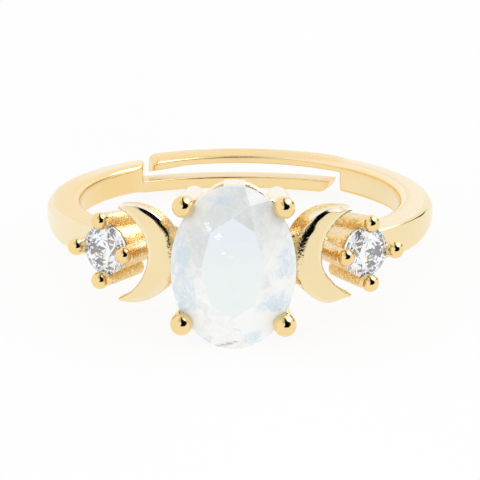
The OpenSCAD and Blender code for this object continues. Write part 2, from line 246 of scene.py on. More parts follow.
def new_object(name, verts, faces, edges=()):
    """Object in the scene with a mesh of the given points, faces and edges."""
    mesh = bpy.data.meshes.new(name)
    mesh.from_pydata([tuple(v) for v in verts], list(edges), faces)
    obj = bpy.data.objects.new(name, mesh)
    bpy.context.scene.collection.objects.link(obj)
    return obj


def drop(*objs):
    """Removes objects."""
    for obj in objs:
        bpy.data.objects.remove(obj)


def evaluated(obj):
    """Plain mesh of an object with its modifiers applied."""
    graph = bpy.context.evaluated_depsgraph_get()
    return bpy.data.meshes.new_from_object(obj.evaluated_get(graph))


def baked(obj, name):
    """New object that holds the evaluated mesh of obj, which is removed."""
    mesh = evaluated(obj)
    mesh.name = name
    drop(obj)
    new = bpy.data.objects.new(name, mesh)
    bpy.context.scene.collection.objects.link(new)
    return new


def outwards(obj, merge=1e-4):
    """Merges doubles and turns the faces of closed shells outwards."""
    bm = bmesh.new()
    bm.from_mesh(obj.data)
    bmesh.ops.remove_doubles(bm, verts=bm.verts, dist=merge)
    bmesh.ops.recalc_face_normals(bm, faces=bm.faces)
    bm.to_mesh(obj.data)
    bm.free()


def moved(obj, matrix):
    """Moves the mesh of an object, which stays at the origin."""
    obj.data.transform(matrix)


def combined(name, solids, cutters=()):
    """Union of solids, less the cutters, as one object."""
    base = solids[0]
    for operation, others in (("UNION", solids[1:]), ("DIFFERENCE", cutters)):
        for other in others:
            step = base.modifiers.new("join", "BOOLEAN")
            step.operation = operation
            step.solver = "MANIFOLD"
            step.object = other
    result = baked(base, name)
    drop(*solids[1:])
    return result


# Edges that bend by more than this many degrees stay crisp.
SETTING_CRISP = 40
ARC_CRISP = 35
STONE_CRISP = 2
# Half the length of the cylinder that keeps the finger hole clear, in millimetres.
CUTTER_HALF = 12


def finish(obj, name, material, node, crisp=0):
    """Lays a piece down, names and shades it, gives it its material, hangs it on the root body and hides the
    imported part it stands for. A crisp of 0 keeps every edge soft.
    """
    obj.data.transform(REST)
    obj.name = name
    obj.data.name = name
    for polygon in obj.data.polygons:
        polygon.use_smooth = True
    if crisp:
        obj.data.set_sharp_from_angle(angle=math.radians(crisp))
    obj.data.materials.clear()
    obj.data.materials.append(material)
    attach(obj, "root")
    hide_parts(node)


def write(obj, name, values, domain="POINT"):
    """Writes a number on each point or face of a mesh, as an attribute."""
    layer = obj.data.attributes.new(name, "FLOAT", domain)
    layer.data.foreach_set("value", values)


def paint(obj, name, rule):
    """Writes a number on each point of a mesh, by a rule of its place and normal."""
    write(obj, name, [rule(vertex.co, vertex.normal) for vertex in obj.data.vertices])


def turned(profile, count=64):
    """Closed ring turned from a closed profile of (radius, height) about Z."""
    verts = []
    for i in range(count):
        a = 2 * math.pi * i / count
        verts += [(r * math.cos(a), r * math.sin(a), h) for r, h in profile]
    n = len(profile)
    faces = []
    for i in range(count):
        for j in range(n):
            k = (i + 1) % count
            m = (j + 1) % n
            faces.append((i * n + j, k * n + j, k * n + m, i * n + m))
    return verts, faces


def cylinder(name, radius, half, count=256):
    """Closed cylinder about Z, of a half length."""
    verts = []
    for z in (-half, half):
        for i in range(count):
            a = 2 * math.pi * i / count
            verts.append((radius * math.cos(a), radius * math.sin(a), z))
    faces = [tuple(reversed(range(count))), tuple(range(count, 2 * count))]
    for i in range(count):
        k = (i + 1) % count
        faces.append((i, k, count + k, count + i))
    return new_object(name, verts, faces)


# Geometry Nodes

class Nodes:
    """Short way to add nodes to a tree and link them."""

    def __init__(self, tree):
        self.tree = tree

    def add(self, kind, links=(), **settings):
        """Adds a node, with values or links for its sockets and with its settings."""
        node = self.tree.nodes.new(kind)
        for key, value in settings.items():
            setattr(node, key, value)
        for socket, value in dict(links).items():
            target = node.inputs[socket]
            if isinstance(value, bpy.types.NodeSocket):
                self.tree.links.new(value, target)
            elif isinstance(value, bpy.types.Node):
                self.tree.links.new(value.outputs[0], target)
            else:
                target.default_value = value
        return node

    def math(self, operation, a, b=0.0, c=0.0):
        """Adds a calculation with numbers. The third is read by MULTIPLY_ADD alone."""
        values = {0: a, 1: b}
        if operation == "MULTIPLY_ADD":
            values[2] = c
        return self.add("ShaderNodeMath", values, operation=operation)


def geometry_tree(name, inputs):
    """Tree with a geometry in and out and named inputs, and the node that gives them."""
    tree = bpy.data.node_groups.new(name, "GeometryNodeTree")
    tree.interface.new_socket("Geometry", in_out="INPUT", socket_type="NodeSocketGeometry")
    for label, kind in inputs:
        tree.interface.new_socket(label, in_out="INPUT", socket_type="NodeSocket" + kind)
    tree.interface.new_socket("Geometry", in_out="OUTPUT", socket_type="NodeSocketGeometry")
    nodes = Nodes(tree)
    return nodes, nodes.add("NodeGroupInput")


def close_tree(nodes, mesh, material):
    """Ends a tree with its mesh made real and painted."""
    real = nodes.add("GeometryNodeRealizeInstances", {0: mesh})
    painted = nodes.add("GeometryNodeSetMaterial", {"Geometry": real, "Material": material})
    nodes.add("NodeGroupOutput", {0: painted})
    return nodes.tree


def prong_tree():
    """Each edge of the input becomes a round bar that ends in a ball, of the point attribute ball_radius."""
    nodes, given = geometry_tree(
        "Ball prongs",
        (
            ("Foot Radius", "Float"),
            ("Tip Radius", "Float"),
            ("Rings", "Int"),
            ("Sides", "Int"),
            ("Material", "Material"),
        ),
    )
    out = given.outputs
    path = nodes.add("GeometryNodeMeshToCurve", {"Mesh": out["Geometry"]})
    fine = nodes.add("GeometryNodeResampleCurve", {"Curve": path, "Count": out["Rings"]})
    # Rings crowd towards the tip, so that the ball's pole is round.
    along = nodes.add("GeometryNodeSplineParameter")
    rest = nodes.math("SUBTRACT", 1.0, along)
    factor = nodes.math("SUBTRACT", 1.0, nodes.math("MULTIPLY", rest, rest))
    which = nodes.add("GeometryNodeCurveOfPoint")
    place = nodes.add(
        "GeometryNodeSampleCurve",
        {"Curves": path, "Factor": factor, "Curve Index": which.outputs["Curve Index"]},
    )
    crowded = nodes.add("GeometryNodeSetPosition", {"Geometry": fine, "Position": place.outputs["Position"]})
    # Distance d from the tip gives the ball's radius there, sqrt(2 r d - d d), and the bar's.
    far = nodes.add("GeometryNodeSplineParameter")
    span = nodes.add("GeometryNodeSplineLength")
    left = nodes.math("SUBTRACT", 1.0, far)
    d = nodes.math("MULTIPLY", left, span)
    ball = nodes.add("GeometryNodeInputNamedAttribute", {"Name": "ball_radius"}, data_type="FLOAT")
    twice = nodes.math("MULTIPLY", nodes.math("MULTIPLY", ball, 2.0), d)
    square = nodes.math("SUBTRACT", twice, nodes.math("MULTIPLY", d, d))
    round_r = nodes.math("SQRT", nodes.math("MAXIMUM", square, 0.0))
    bar_r = nodes.add("ShaderNodeMix", {"Factor": far, "A": out["Foot Radius"], "B": out["Tip Radius"]})
    behind = nodes.math("GREATER_THAN", d, ball)
    bar_there = nodes.math("MULTIPLY", bar_r, behind)
    radius = nodes.math("MAXIMUM", round_r, bar_there)
    circle = nodes.add("GeometryNodeCurvePrimitiveCircle", {"Resolution": out["Sides"], "Radius": 1.0})
    skin = nodes.add(
        "GeometryNodeCurveToMesh",
        {"Curve": crowded, "Profile Curve": circle, "Scale": radius, "Fill Caps": True},
    )
    merged = nodes.add("GeometryNodeMergeByDistance", {"Geometry": skin, "Distance": 1e-4})
    return close_tree(nodes, merged, out["Material"])


def rail_tree():
    """The input's edges become a bar of rounded rectangular section.

    The section's width lies along the point attribute across.
    """
    nodes, given = geometry_tree(
        "Rail on a path",
        (("Width", "Float"), ("Depth", "Float"), ("Rounding", "Float"), ("Material", "Material")),
    )
    out = given.outputs
    path = nodes.add("GeometryNodeMeshToCurve", {"Mesh": out["Geometry"]})
    across = nodes.add("GeometryNodeInputNamedAttribute", {"Name": "across"}, data_type="FLOAT_VECTOR")
    framed = nodes.add("GeometryNodeSetCurveNormal", {"Curve": path, "Normal": across}, mode="FREE")
    section = nodes.add(
        "GeometryNodeCurvePrimitiveQuadrilateral", {"Width": out["Width"], "Height": out["Depth"]}
    )
    soft = nodes.add(
        "GeometryNodeFilletCurve", {"Curve": section, "Count": 5, "Radius": out["Rounding"]}, mode="POLY"
    )
    skin = nodes.add(
        "GeometryNodeCurveToMesh", {"Curve": framed, "Profile Curve": soft, "Scale": 1.0, "Fill Caps": True}
    )
    return close_tree(nodes, skin, out["Material"])


def run_tree(name, tree, source, values):
    """Runs a tree on an object's mesh with named values, and returns the plain result."""
    modifier = source.modifiers.new(tree.name, "NODES")
    modifier.node_group = tree
    for item in tree.interface.items_tree:
        if item.in_out == "INPUT" and item.name in values:
            modifier[item.identifier] = values[item.name]
    result = baked(source, name)
    outwards(result)
    return result


def prongs(name, lines, radii, feet, tips, material, rings=72, sides=48):
    """Ball prongs from feet to ball centres."""
    verts = []
    for (foot, centre), radius in zip(lines, radii):
        foot = Vector(foot)
        centre = Vector(centre)
        verts += [foot, centre + (centre - foot).normalized() * radius]
    edges = [(2 * i, 2 * i + 1) for i in range(len(lines))]
    source = new_object(name, verts, [], edges)
    write(source, "ball_radius", [r for r in radii for _ in range(2)])
    values = {
        "Foot Radius": feet,
        "Tip Radius": tips,
        "Rings": rings,
        "Sides": sides,
        "Material": material,
    }
    return split_parts(run_tree(name, TREES["prongs"], source, values))


def split_parts(obj):
    """One object for each loose shell of obj."""
    bm = bmesh.new()
    bm.from_mesh(obj.data)
    left = set(bm.verts)
    parts = []
    while left:
        seed = left.pop()
        group = {seed}
        stack = [seed]
        while stack:
            for edge in stack.pop().link_edges:
                for vert in edge.verts:
                    if vert not in group:
                        group.add(vert)
                        stack.append(vert)
        left -= group
        order = sorted(group, key=lambda v: v.index)
        index = {v: i for i, v in enumerate(order)}
        faces = sorted({f for v in order for f in v.link_faces}, key=lambda f: f.index)
        parts.append(
            (
                order[0].index,
                [v.co.copy() for v in order],
                [[index[v] for v in f.verts] for f in faces],
            )
        )
    bm.free()
    name = obj.name
    drop(obj)
    parts.sort(key=lambda part: part[0])
    return [new_object(name, verts, faces) for _, verts, faces in parts]


RAIL_ROUNDING = 0.1


def rail(name, points, across, width, depth, rounding, material, closed):
    """Bar of rounded rectangular section along points. across gives each point's direction of width."""
    count = len(points)
    edges = [(i, (i + 1) % count) for i in range(count if closed else count - 1)]
    source = new_object(name, points, [], edges)
    layer = source.data.attributes.new("across", "FLOAT_VECTOR", "POINT")
    layer.data.foreach_set("vector", [c for v in across for c in v])
    values = {"Width": width, "Depth": depth, "Rounding": rounding, "Material": material}
    return run_tree(name, TREES["rail"], source, values)


def oval_rail(name, a, b, wall, near, far, material):
    """Oval rail around the moonstone's axis between two distances from the finger's axis."""
    points = []
    across = []
    count = 128
    for i in range(count):
        t = 2 * math.pi * i / count
        points.append(((a - wall / 2) * math.cos(t), -(near + far) / 2, (b - wall / 2) * math.sin(t)))
        across.append(Vector((math.cos(t) / a, 0, math.sin(t) / b)).normalized())
    return rail(name, points, across, wall, far - near, RAIL_ROUNDING, material, True)


# Materials

class Shader(Nodes):
    """Nodes of a material that ends in one Principled shader."""

    def __init__(self, name):
        self.material = bpy.data.materials.new(name)
        self.material.use_nodes = True
        super().__init__(self.material.node_tree)
        self.tree.nodes.clear()
        self.surface = self.add("ShaderNodeBsdfPrincipled")
        self.add("ShaderNodeOutputMaterial", {"Surface": self.surface})
        self.object = self.add("ShaderNodeTexCoord").outputs["Object"]

    def to(self, socket, value):
        """Sets or links a socket of the Principled shader."""
        target = self.surface.inputs[socket]
        if isinstance(value, bpy.types.Node):
            value = value.outputs[0]
        if isinstance(value, bpy.types.NodeSocket):
            self.tree.links.new(value, target)
        else:
            target.default_value = value

    def scaled(self, stretch=(1, 1, 1), turn=(0, 0, 0), shift=(0, 0, 0)):
        """Object coordinates in millimetres, stretched."""
        return self.add(
            "ShaderNodeMapping",
            {
                "Vector": self.object,
                "Location": shift,
                "Rotation": turn,
                "Scale": tuple(s / MM for s in stretch),
            },
        )

    def noise(self, scale, detail=3.0, rough=0.55, where=None, distort=0.0):
        """Noise with a scale in features per millimetre."""
        node = self.add(
            "ShaderNodeTexNoise",
            {
                "Vector": where or self.scaled(),
                "Scale": scale,
                "Detail": detail,
                "Roughness": rough,
                "Distortion": distort,
            },
        )
        return node.outputs[0]

    def times(self, a, b):
        """Product of two numbers."""
        return self.math("MULTIPLY", a, b)

    def level(self, factor, a, b):
        """Mix of two numbers."""
        return self.add("ShaderNodeMix", {"Factor": factor, "A": a, "B": b})

    def between(self, value, rise, fall):
        """Rises from 0 to 1 over one pair of values, and falls back to 0 over another."""
        return self.math("SUBTRACT", self.ramp(value, *rise), self.ramp(value, *fall))

    def ramp(self, value, low, high, to_low=0.0, to_high=1.0):
        """Smooth step between two levels."""
        node = self.add(
            "ShaderNodeMapRange",
            {"Value": value, "From Min": low, "From Max": high, "To Min": to_low, "To Max": to_high},
            interpolation_type="SMOOTHSTEP",
        )
        return node.outputs[0]

    def blend(self, factor, a, b):
        """Colour mix."""
        node = self.add("ShaderNodeMix", data_type="RGBA")
        for socket, value in ((0, factor), (6, a), (7, b)):
            if isinstance(value, bpy.types.NodeSocket):
                self.tree.links.new(value, node.inputs[socket])
            elif isinstance(value, bpy.types.Node):
                self.tree.links.new(value.outputs[0], node.inputs[socket])
            elif socket == 0:
                node.inputs[socket].default_value = value
            else:
                node.inputs[socket].default_value = tuple(value)[:3] + (1,)
        return node.outputs[2]

    def attribute(self, name):
        """Number that the mesh gives."""
        return self.add("ShaderNodeAttribute", attribute_name=name).outputs["Fac"]

    def bump(self, height, strength, distance):
        """Bumps the surface by a height."""
        node = self.add("ShaderNodeBump", {"Height": height, "Strength": strength, "Distance": distance})
        self.to("Normal", node.outputs[0])


# Roughness of the gold, from its smoothest places to its roughest ones.
SATIN_ROUGH = (0.22, 0.34)
BAND_POLISH = (0.07, 0.14)
SETTING_POLISH = (0.06, 0.12)
LINE_ROUGH = 0.45
ROUNDING_ROUGH = 0.3
CAST_ROUGH = 0.36
# Depth of the band's and the settings' bumps in millimetres, and how strong the band's are.
BAND_DEPTH = 0.02
BAND_BUMP = 0.013
SETTING_DEPTH = 0.05
# How much darker the gold and the satin are in their darker places, and how much deep gold is laid on as
# painted shade and reflection.
DIM_GOLD = 0.97
SCRATCH_SATIN = 0.86
DEEP_SHARE = 0.6
LINE_SHARE = 0.9


def plated(name, finishes):
    """Shader of gold plate, with its uneven colour and its coarse and fine grain."""
    shader = Shader(name)
    dimmer = tuple(c * DIM_GOLD for c in finishes.gold)
    bright = shader.blend(shader.ramp(shader.noise(0.35, 2.0), 0.35, 0.65), dimmer, finishes.gold)
    coarse = shader.noise(9.0, 4.0, 0.65)
    fine = shader.noise(38.0, 2.0)
    return shader, bright, coarse, fine


def finished(shader, colour_out, rough):
    """Material of a metal with a colour and a roughness."""
    shader.to("Base Color", colour_out)
    shader.to("Metallic", 1.0)
    shader.to("Roughness", rough)
    return shader.material


def band_gold(finishes):
    """Gold plate of the band, with satin side faces and tones by the attributes of its halves."""
    shader, bright, coarse, fine = plated("gold_band", finishes)
    inside = shader.attribute("inside")
    warm = shader.attribute("warm")
    # Side faces are those square to the finger's axis: the lean is 1 there, and 0 on the walls.
    normal = shader.add("ShaderNodeTexCoord").outputs["Normal"]
    axis = tuple(HOLE["axis"])
    facing = shader.add("ShaderNodeVectorMath", {0: normal, 1: axis}, operation="DOT_PRODUCT")
    lean = shader.math("ABSOLUTE", facing.outputs["Value"])
    on_side = shader.ramp(lean, 0.88, 0.985)
    strokes = shader.noise(1.0, 4.0, 0.7, shader.scaled((0.5, 9.0, 5.0), (0.2, 0.1, 0.6)))
    # The side faces' satin colour is partly a painted highlight; towards the finger hole and in warm places
    # it turns golden.
    golden = shader.math("MAXIMUM", shader.times(inside, 0.8), warm)
    side = shader.blend(golden, finishes.satin, shader.blend(0.35, bright, finishes.cast))
    scratch = shader.times(shader.ramp(strokes, 0.60, 0.72), 0.35)
    side = shader.blend(scratch, side, tuple(c * SCRATCH_SATIN for c in finishes.satin))
    # On the left half's outer edge the walls take the satin's paler colour, partly a painted highlight.
    wall = shader.blend(shader.attribute("matt"), bright, finishes.satin)
    colour_out = shader.blend(on_side, wall, side)
    # The rounding of the finger hole gets a painted reflection of deep gold next to the wall and a painted
    # glint next to the side face.
    line = shader.times(shader.between(lean, (0.05, 0.3), (0.5, 0.7)), inside)
    glint = shader.times(shader.between(lean, (0.55, 0.75), (0.92, 0.985)), inside)
    colour_out = shader.blend(glint, colour_out, finishes.glint)
    # Deep gold is painted shade and reflection, in the hole, on the tongues and at the ends.
    deep = shader.times(shader.attribute("deep"), DEEP_SHARE)
    deep = shader.math("MAXIMUM", deep, shader.times(line, LINE_SHARE))
    colour_out = shader.blend(deep, colour_out, finishes.cast)
    # The satin is rougher than the polish, and so are the deep line and the rounded edges of warm places.
    satin = shader.ramp(strokes, 0.3, 0.75, *SATIN_ROUGH)
    polish = shader.ramp(coarse, 0.3, 0.7, *BAND_POLISH)
    rounding = shader.times(shader.between(lean, (0.2, 0.4), (0.93, 0.99)), warm)
    rough = shader.level(on_side, polish, satin)
    rough = shader.level(line, rough, LINE_ROUGH)
    rough = shader.level(rounding, rough, ROUNDING_ROUGH)
    height = shader.math("ADD", shader.times(strokes, on_side), shader.times(fine, 0.2))
    shader.bump(height, BAND_BUMP, BAND_DEPTH * MM)
    return finished(shader, colour_out, rough)


def setting_gold(finishes):
    """Gold plate of the settings: polished, spotted, with rough gold partly deepened as painted shade,
    painted light and torn bumps where told.
    """
    shader, bright, coarse, fine = plated("gold_settings", finishes)
    spots = shader.ramp(shader.noise(6.0, 4.0, 0.65), 0.42, 0.58)
    # Rough places take a deeper gold that is partly painted shade.
    cast = shader.times(shader.attribute("cast"), shader.math("MULTIPLY_ADD", spots, 0.65, 0.35))
    # Painted light on upper sides and highlights, broken up by the spots.
    pale = shader.times(shader.attribute("pale"), shader.math("MULTIPLY_ADD", spots, -0.35, 1.0))
    colour_out = shader.blend(cast, bright, finishes.cast)
    colour_out = shader.blend(pale, colour_out, finishes.pale)
    colour_out = shader.blend(shader.attribute("rich"), colour_out, finishes.cast)
    polish = shader.ramp(coarse, 0.3, 0.7, *SETTING_POLISH)
    rough = shader.level(cast, polish, CAST_ROUGH)
    torn = shader.times(shader.noise(5.0, 2.0, 0.6), shader.attribute("torn"))
    height = shader.math("ADD", shader.times(coarse, cast), shader.times(fine, 0.02))
    shader.bump(shader.math("ADD", height, torn), 1.0, SETTING_DEPTH * MM)
    return finished(shader, colour_out, rough)


WHITE = (1.0, 1.0, 1.0)
MOONSTONE_IOR = 1.53
# The moonstone glows faintly in its own colour, as painted light.
MOONSTONE_PAINTED_GLOW = 0.10
CLEAR_IOR = 2.4
# The side stones glow faintly, as painted light.
CLEAR_PAINTED_GLOW = 0.035

# Places in the moonstone, in millimetres right of and above its middle, with their half widths.
BLUE_PATCHES = (
    (2.00, -1.60, 0.80, 0.50),
    (-2.30, -1.20, 0.60, 1.05),
    (-1.30, -3.50, 0.34, 0.26),
    (0.90, -3.30, 0.38, 0.42),
    (-2.45, 0.55, 0.34, 0.80),
    (2.50, 0.45, 0.34, 0.85),
    (-0.55, 3.45, 0.60, 0.22),
    (0.12, -2.84, 0.26, 0.09),
)
WHITE_SPECKS = (
    (-1.30, 2.33, 0.07, 0.06),
    (-1.17, 2.37, 0.06, 0.07),
    (-1.22, 2.22, 0.08, 0.06),
    (-1.10, 2.15, 0.08, 0.10),
    (-1.19, 2.06, 0.05, 0.05),
    (-0.80, 1.78, 0.08, 0.05),
    (-0.68, 1.87, 0.06, 0.09),
    (-0.58, 1.80, 0.06, 0.05),
    (-0.70, 1.67, 0.10, 0.04),
    (-0.45, 0.98, 0.09, 0.05),
)
YELLOW_MARK = (-0.05, 0.84, 0.10, 0.06)
BROWN_STREAK = (
    (-0.74, -3.83, 0.22, 0.05),
    (-0.46, -3.75, 0.22, 0.07),
    (-0.16, -3.66, 0.22, 0.07),
    (0.12, -3.56, 0.14, 0.05),
)


def moonstone_material(finishes):
    """Milky stone with a light blue table, grey-white facets in painted light and crisp blue patches of
    painted sheen near its edge.
    """
    shader = Shader("moonstone")
    head = sizes("head")
    lay = REST @ head_matrix()
    middle = lay @ Vector((0, -sizes("band").finger / 2 - head.stone_out, -head.stone_drop))
    # Millimetres right of, out from and above the stone's middle.
    stone = shader.add(
        "ShaderNodeMapping",
        {"Vector": shader.object, "Location": middle, "Rotation": lay.to_euler(), "Scale": (MM, MM, MM)},
        vector_type="TEXTURE",
    ).outputs[0]
    high = shader.add("ShaderNodeSeparateXYZ", {0: stone}).outputs["Z"]
    clouds = shader.noise(0.5, 3.0, 0.55, stone, 0.4)
    wisps = shader.noise(1.7, 5.0, 0.62, stone, 1.2)
    ragged = shader.noise(1.6, 5.0, 0.68, stone, 0.6)
    veils = shader.noise(2.6, 6.0, 0.7, stone, 1.6)

    def spot(place, soft, wild):
        """Round spot in the stone with a ragged edge."""
        x, z, wide, tall = place
        local = shader.add(
            "ShaderNodeMapping",
            {"Vector": stone, "Location": (x, 0, z), "Scale": (wide, 1000, tall)},
            vector_type="TEXTURE",
        )
        far = shader.add("ShaderNodeVectorMath", {0: local}, operation="LENGTH").outputs["Value"]
        far = shader.math("MULTIPLY_ADD", ragged, wild, far)
        return shader.ramp(far, 1 + wild / 2 - soft, 1 + wild / 2 + soft, 1.0, 0.0)

    def spots(places, soft, wild):
        """Several spots, joined."""
        total = spot(places[0], soft, wild)
        for place in places[1:]:
            total = shader.math("MAXIMUM", total, spot(place, soft, wild))
        return total

    # The crown's facets are lit a little differently and lighter low down, both painted light, with wisps and
    # warm clouds.
    painted_facet_light = shader.math("MULTIPLY_ADD", shader.attribute("facet"), 0.5, 0.12)
    painted_facet_light = shader.math("ADD", painted_facet_light, shader.ramp(high, 3.4, -3.0, -0.15, 0.75))
    painted_facet_light = shader.math("ADD", painted_facet_light, shader.ramp(wisps, 0.3, 0.7, -0.25, 0.25))
    crown = shader.blend(shader.ramp(painted_facet_light, 0.0, 1.1), finishes.grey, finishes.milk)
    warm = shader.times(shader.ramp(clouds, 0.5, 0.62), 0.5)
    crown = shader.blend(warm, crown, finishes.cream)
    # The blue patches are a painted sheen.
    torn = shader.ramp(veils, 0.42, 0.54, 0.15, 0.85)
    blue = shader.times(spots(BLUE_PATCHES, 0.35, 3.4), torn)
    crown = shader.blend(shader.times(blue, 0.8), crown, finishes.sheen)
    brown = shader.times(spots(BROWN_STREAK, 0.5, 3.0), 0.8)
    crown = shader.blend(brown, crown, finishes.brown)

    face = shader.blend(shader.ramp(high, -0.5, 3.0), finishes.table_low, finishes.table_high)
    face = shader.blend(shader.ramp(wisps, 0.35, 0.75, 0.0, 0.25), face, finishes.wisp)
    face = shader.blend(shader.times(spot(YELLOW_MARK, 0.3, 0.8), 0.6), face, finishes.yellow)
    table = shader.attribute("table")
    body = shader.blend(table, crown, face)
    body = shader.blend(spots(WHITE_SPECKS, 0.4, 1.5), body, WHITE)
    # The narrow faces along the facet edges are painted white, as highlights.
    body = shader.blend(shader.times(shader.attribute("edge"), 0.6), body, WHITE)
    shader.to("Base Color", body)
    shader.to("Roughness", shader.ramp(wisps, 0.3, 0.7, 0.02, 0.06))
    shader.to("IOR", MOONSTONE_IOR)
    shader.to("Transmission Weight", shader.ramp(table, 0.0, 1.0, 0.22, 0.06))
    # A faint painted glow of the body's colour brightens the stone.
    shader.to("Emission Color", body)
    shader.to("Emission Strength", MOONSTONE_PAINTED_GLOW)
    shader.bump(shader.noise(3.0, 2.0), 0.05, 0.01 * MM)
    return shader.material


def clear_material(finishes):
    """Clear brilliant-cut stone, with a faint haze and a faint painted glow of its own in sparkle colours."""
    shader = Shader("clear_stone")
    haze = shader.noise(1.2, 3.0)
    sparkle = shader.ramp(shader.noise(2.2, 2.0), 0.35, 0.65)
    shader.to("Base Color", shader.blend(shader.ramp(haze, 0.35, 0.7), finishes.clear, finishes.hazy))
    shader.to("Roughness", shader.ramp(haze, 0.3, 0.7, 0.0, 0.012))
    shader.to("IOR", CLEAR_IOR)
    shader.to("Transmission Weight", 1.0)
    # A faint painted glow in sparkle colours.
    shader.to("Emission Color", shader.blend(sparkle, finishes.glow_low, finishes.glow_high))
    shader.to("Emission Strength", CLEAR_PAINTED_GLOW)
    return shader.material


TREES = {}
PAINTS = {}


def prepare():
    """Makes the node trees and the materials once."""
    finishes = sizes("finishes")
    TREES["prongs"] = prong_tree()
    TREES["rail"] = rail_tree()
    PAINTS["band"] = band_gold(finishes)
    PAINTS["gold"] = setting_gold(finishes)
    PAINTS["moonstone"] = moonstone_material(finishes)
    PAINTS["clear"] = clear_material(finishes)


# Stones

# Corners of a cut stone lie at these shares of its half width. The girdle's corners are trimmed off again.
TABLE_REACH = 0.56
STAR_REACH = 0.79
GIRDLE_REACH = 1.035
KNEE_REACH = 0.24
# Half of the girdle's thickness, as a share of the stone's half width, and the angle from facet to facet.
GIRDLE_HALF = 0.03
STEP_DEG = 45
# Heights above and below the girdle, in millimetres.
MOONSTONE_CROWN = 1.1
MOONSTONE_PAVILION = 2.1
SIDE_CROWN = 0.42
SIDE_PAVILION = 1.05
# The moonstone's girdle corners lie this many degrees beside its main facets, and its table is shifted up by
# this share of its height over the girdle.
MOONSTONE_SPREAD = 9
MOONSTONE_LEAN = 0.18
# Clearance of a stone in its seat, and width of the narrow faces along the moonstone's facet edges.
SEAT_GAP = 0.04
FACET_EDGE = 0.018


def ring_point(a, b, reach, y, degrees, lean=0.0):
    """Corner of a stone at a share of its half widths, at an angle round its axis."""
    t = math.radians(degrees)
    return Vector((a * reach * math.cos(t), y, b * reach * math.sin(t) - lean * y))


def star_points(a, b, table, edge, share, y, lean):
    """Corners between the crown's main facets, at a share of its height, that keep those facets flat."""
    points = []
    for k in range(8):
        walls = []
        for t in (math.radians(STEP_DEG * k), math.radians(STEP_DEG * (k + 1))):
            top = table[0] * math.cos(t) ** 2 + table[1] * math.sin(t) ** 2
            walls.append((math.cos(t), math.sin(t), edge - share * (edge - top)))
        (c1, s1, d1), (c2, s2, d2) = walls
        across = c1 * s2 - c2 * s1
        x = a * (d1 * s2 - d2 * s1) / across
        z = b * (c1 * d2 - c2 * d1) / across - lean * y
        points.append(Vector((x, y, z)))
    return points


def cut_stone(name, size, table, crown, pavilion, spread, lean, grow=0.0):
    """Faceted stone with its table towards -Y and its girdle at y 0.

    A spread of 0 splits the girdle facets in two.
    """
    a = size[0] / 2 + grow
    b = size[1] / 2 + grow
    g = GIRDLE_HALF * size[0] / 2 + grow / 2
    crown += grow
    pavilion += grow
    half = STEP_DEG / 2
    edge = GIRDLE_REACH * math.cos(math.radians(spread))
    inward = math.cos(math.radians(half))
    share = (edge - STAR_REACH * inward) / (edge - TABLE_REACH)
    knee_y = pavilion * (edge - KNEE_REACH * inward) / edge
    mains = [STEP_DEG * k for k in range(8)]
    if spread:
        girdle = [t + s * spread for t in mains for s in (-1, 1)]
    else:
        girdle = [t + s for t in mains for s in (0, half)]
    verts = star_points(a, b, table, edge, share, -g - share * crown, lean)
    verts += [ring_point(a * table[0], b * table[1], 1, -g - crown, t, lean) for t in mains]
    verts += [ring_point(a, b, GIRDLE_REACH, -g, t) for t in girdle]
    verts += [ring_point(a, b, GIRDLE_REACH, g, t) for t in girdle]
    verts += [ring_point(a, b, KNEE_REACH, g + knee_y, t + half) for t in mains]
    verts.append(Vector((0, g + pavilion, 0)))
    top, upper, lower, knees, culet = 8, 16, 32, 48, 56
    faces = [[top + k for k in range(8)]]
    for k in range(8):
        n = (k + 1) % 8
        p = (k + 7) % 8
        faces.append([top + k, top + n, k])
        if spread:
            faces.append([top + k, k, upper + 2 * k + 1, upper + 2 * k, p])
            faces.append([k, upper + 2 * n, upper + 2 * k + 1])
            faces.append([lower + 2 * k + 1, lower + 2 * n, knees + k])
            faces.append([lower + 2 * k, lower + 2 * k + 1, knees + k, culet, knees + p])
        else:
            faces.append([top + k, k, upper + 2 * k, p])
            faces.append([k, upper + 2 * k + 1, upper + 2 * k])
            faces.append([k, upper + 2 * n, upper + 2 * k + 1])
            faces.append([lower + 2 * k, lower + 2 * k + 1, knees + k])
            faces.append([lower + 2 * k + 1, lower + 2 * n, knees + k])
            faces.append([lower + 2 * k, knees + k, culet, knees + p])
    for i in range(16):
        n = (i + 1) % 16
        faces.append([upper + i, upper + n, lower + n, lower + i])
    stone = new_object(name, verts, faces)
    outwards(stone)
    # The oval outline trims the girdle's corners.
    prism = cylinder("outline", 1, 1, 160)
    moved(prism, Matrix.Rotation(math.pi / 2, 4, "X"))
    moved(prism, Matrix.Diagonal((a, 2 * (crown + pavilion), b, 1)))
    outwards(prism)
    trim = stone.modifiers.new("outline", "BOOLEAN")
    trim.operation = "INTERSECT"
    trim.solver = "MANIFOLD"
    trim.object = prism
    result = baked(stone, name)
    drop(prism)
    return result


def soften(stone, width, steepest=4.0):
    """Cuts a narrow face along each facet edge, and marks those faces with the attribute edge."""
    bm = bmesh.new()
    bm.from_mesh(stone.data)
    bmesh.ops.dissolve_limit(bm, angle_limit=math.radians(0.2), verts=bm.verts, edges=bm.edges)
    layer = bm.faces.layers.float.new("edge")
    edges = [e for e in bm.edges if e.is_manifold and e.calc_face_angle(0) > math.radians(steepest)]
    made = bmesh.ops.bevel(bm, geom=edges, offset=width, segments=1, affect="EDGES", clamp_overlap=True)
    for face in made["faces"]:
        face[layer] = 1.0
    bmesh.ops.recalc_face_normals(bm, faces=bm.faces)
    bm.to_mesh(stone.data)
    bm.free()


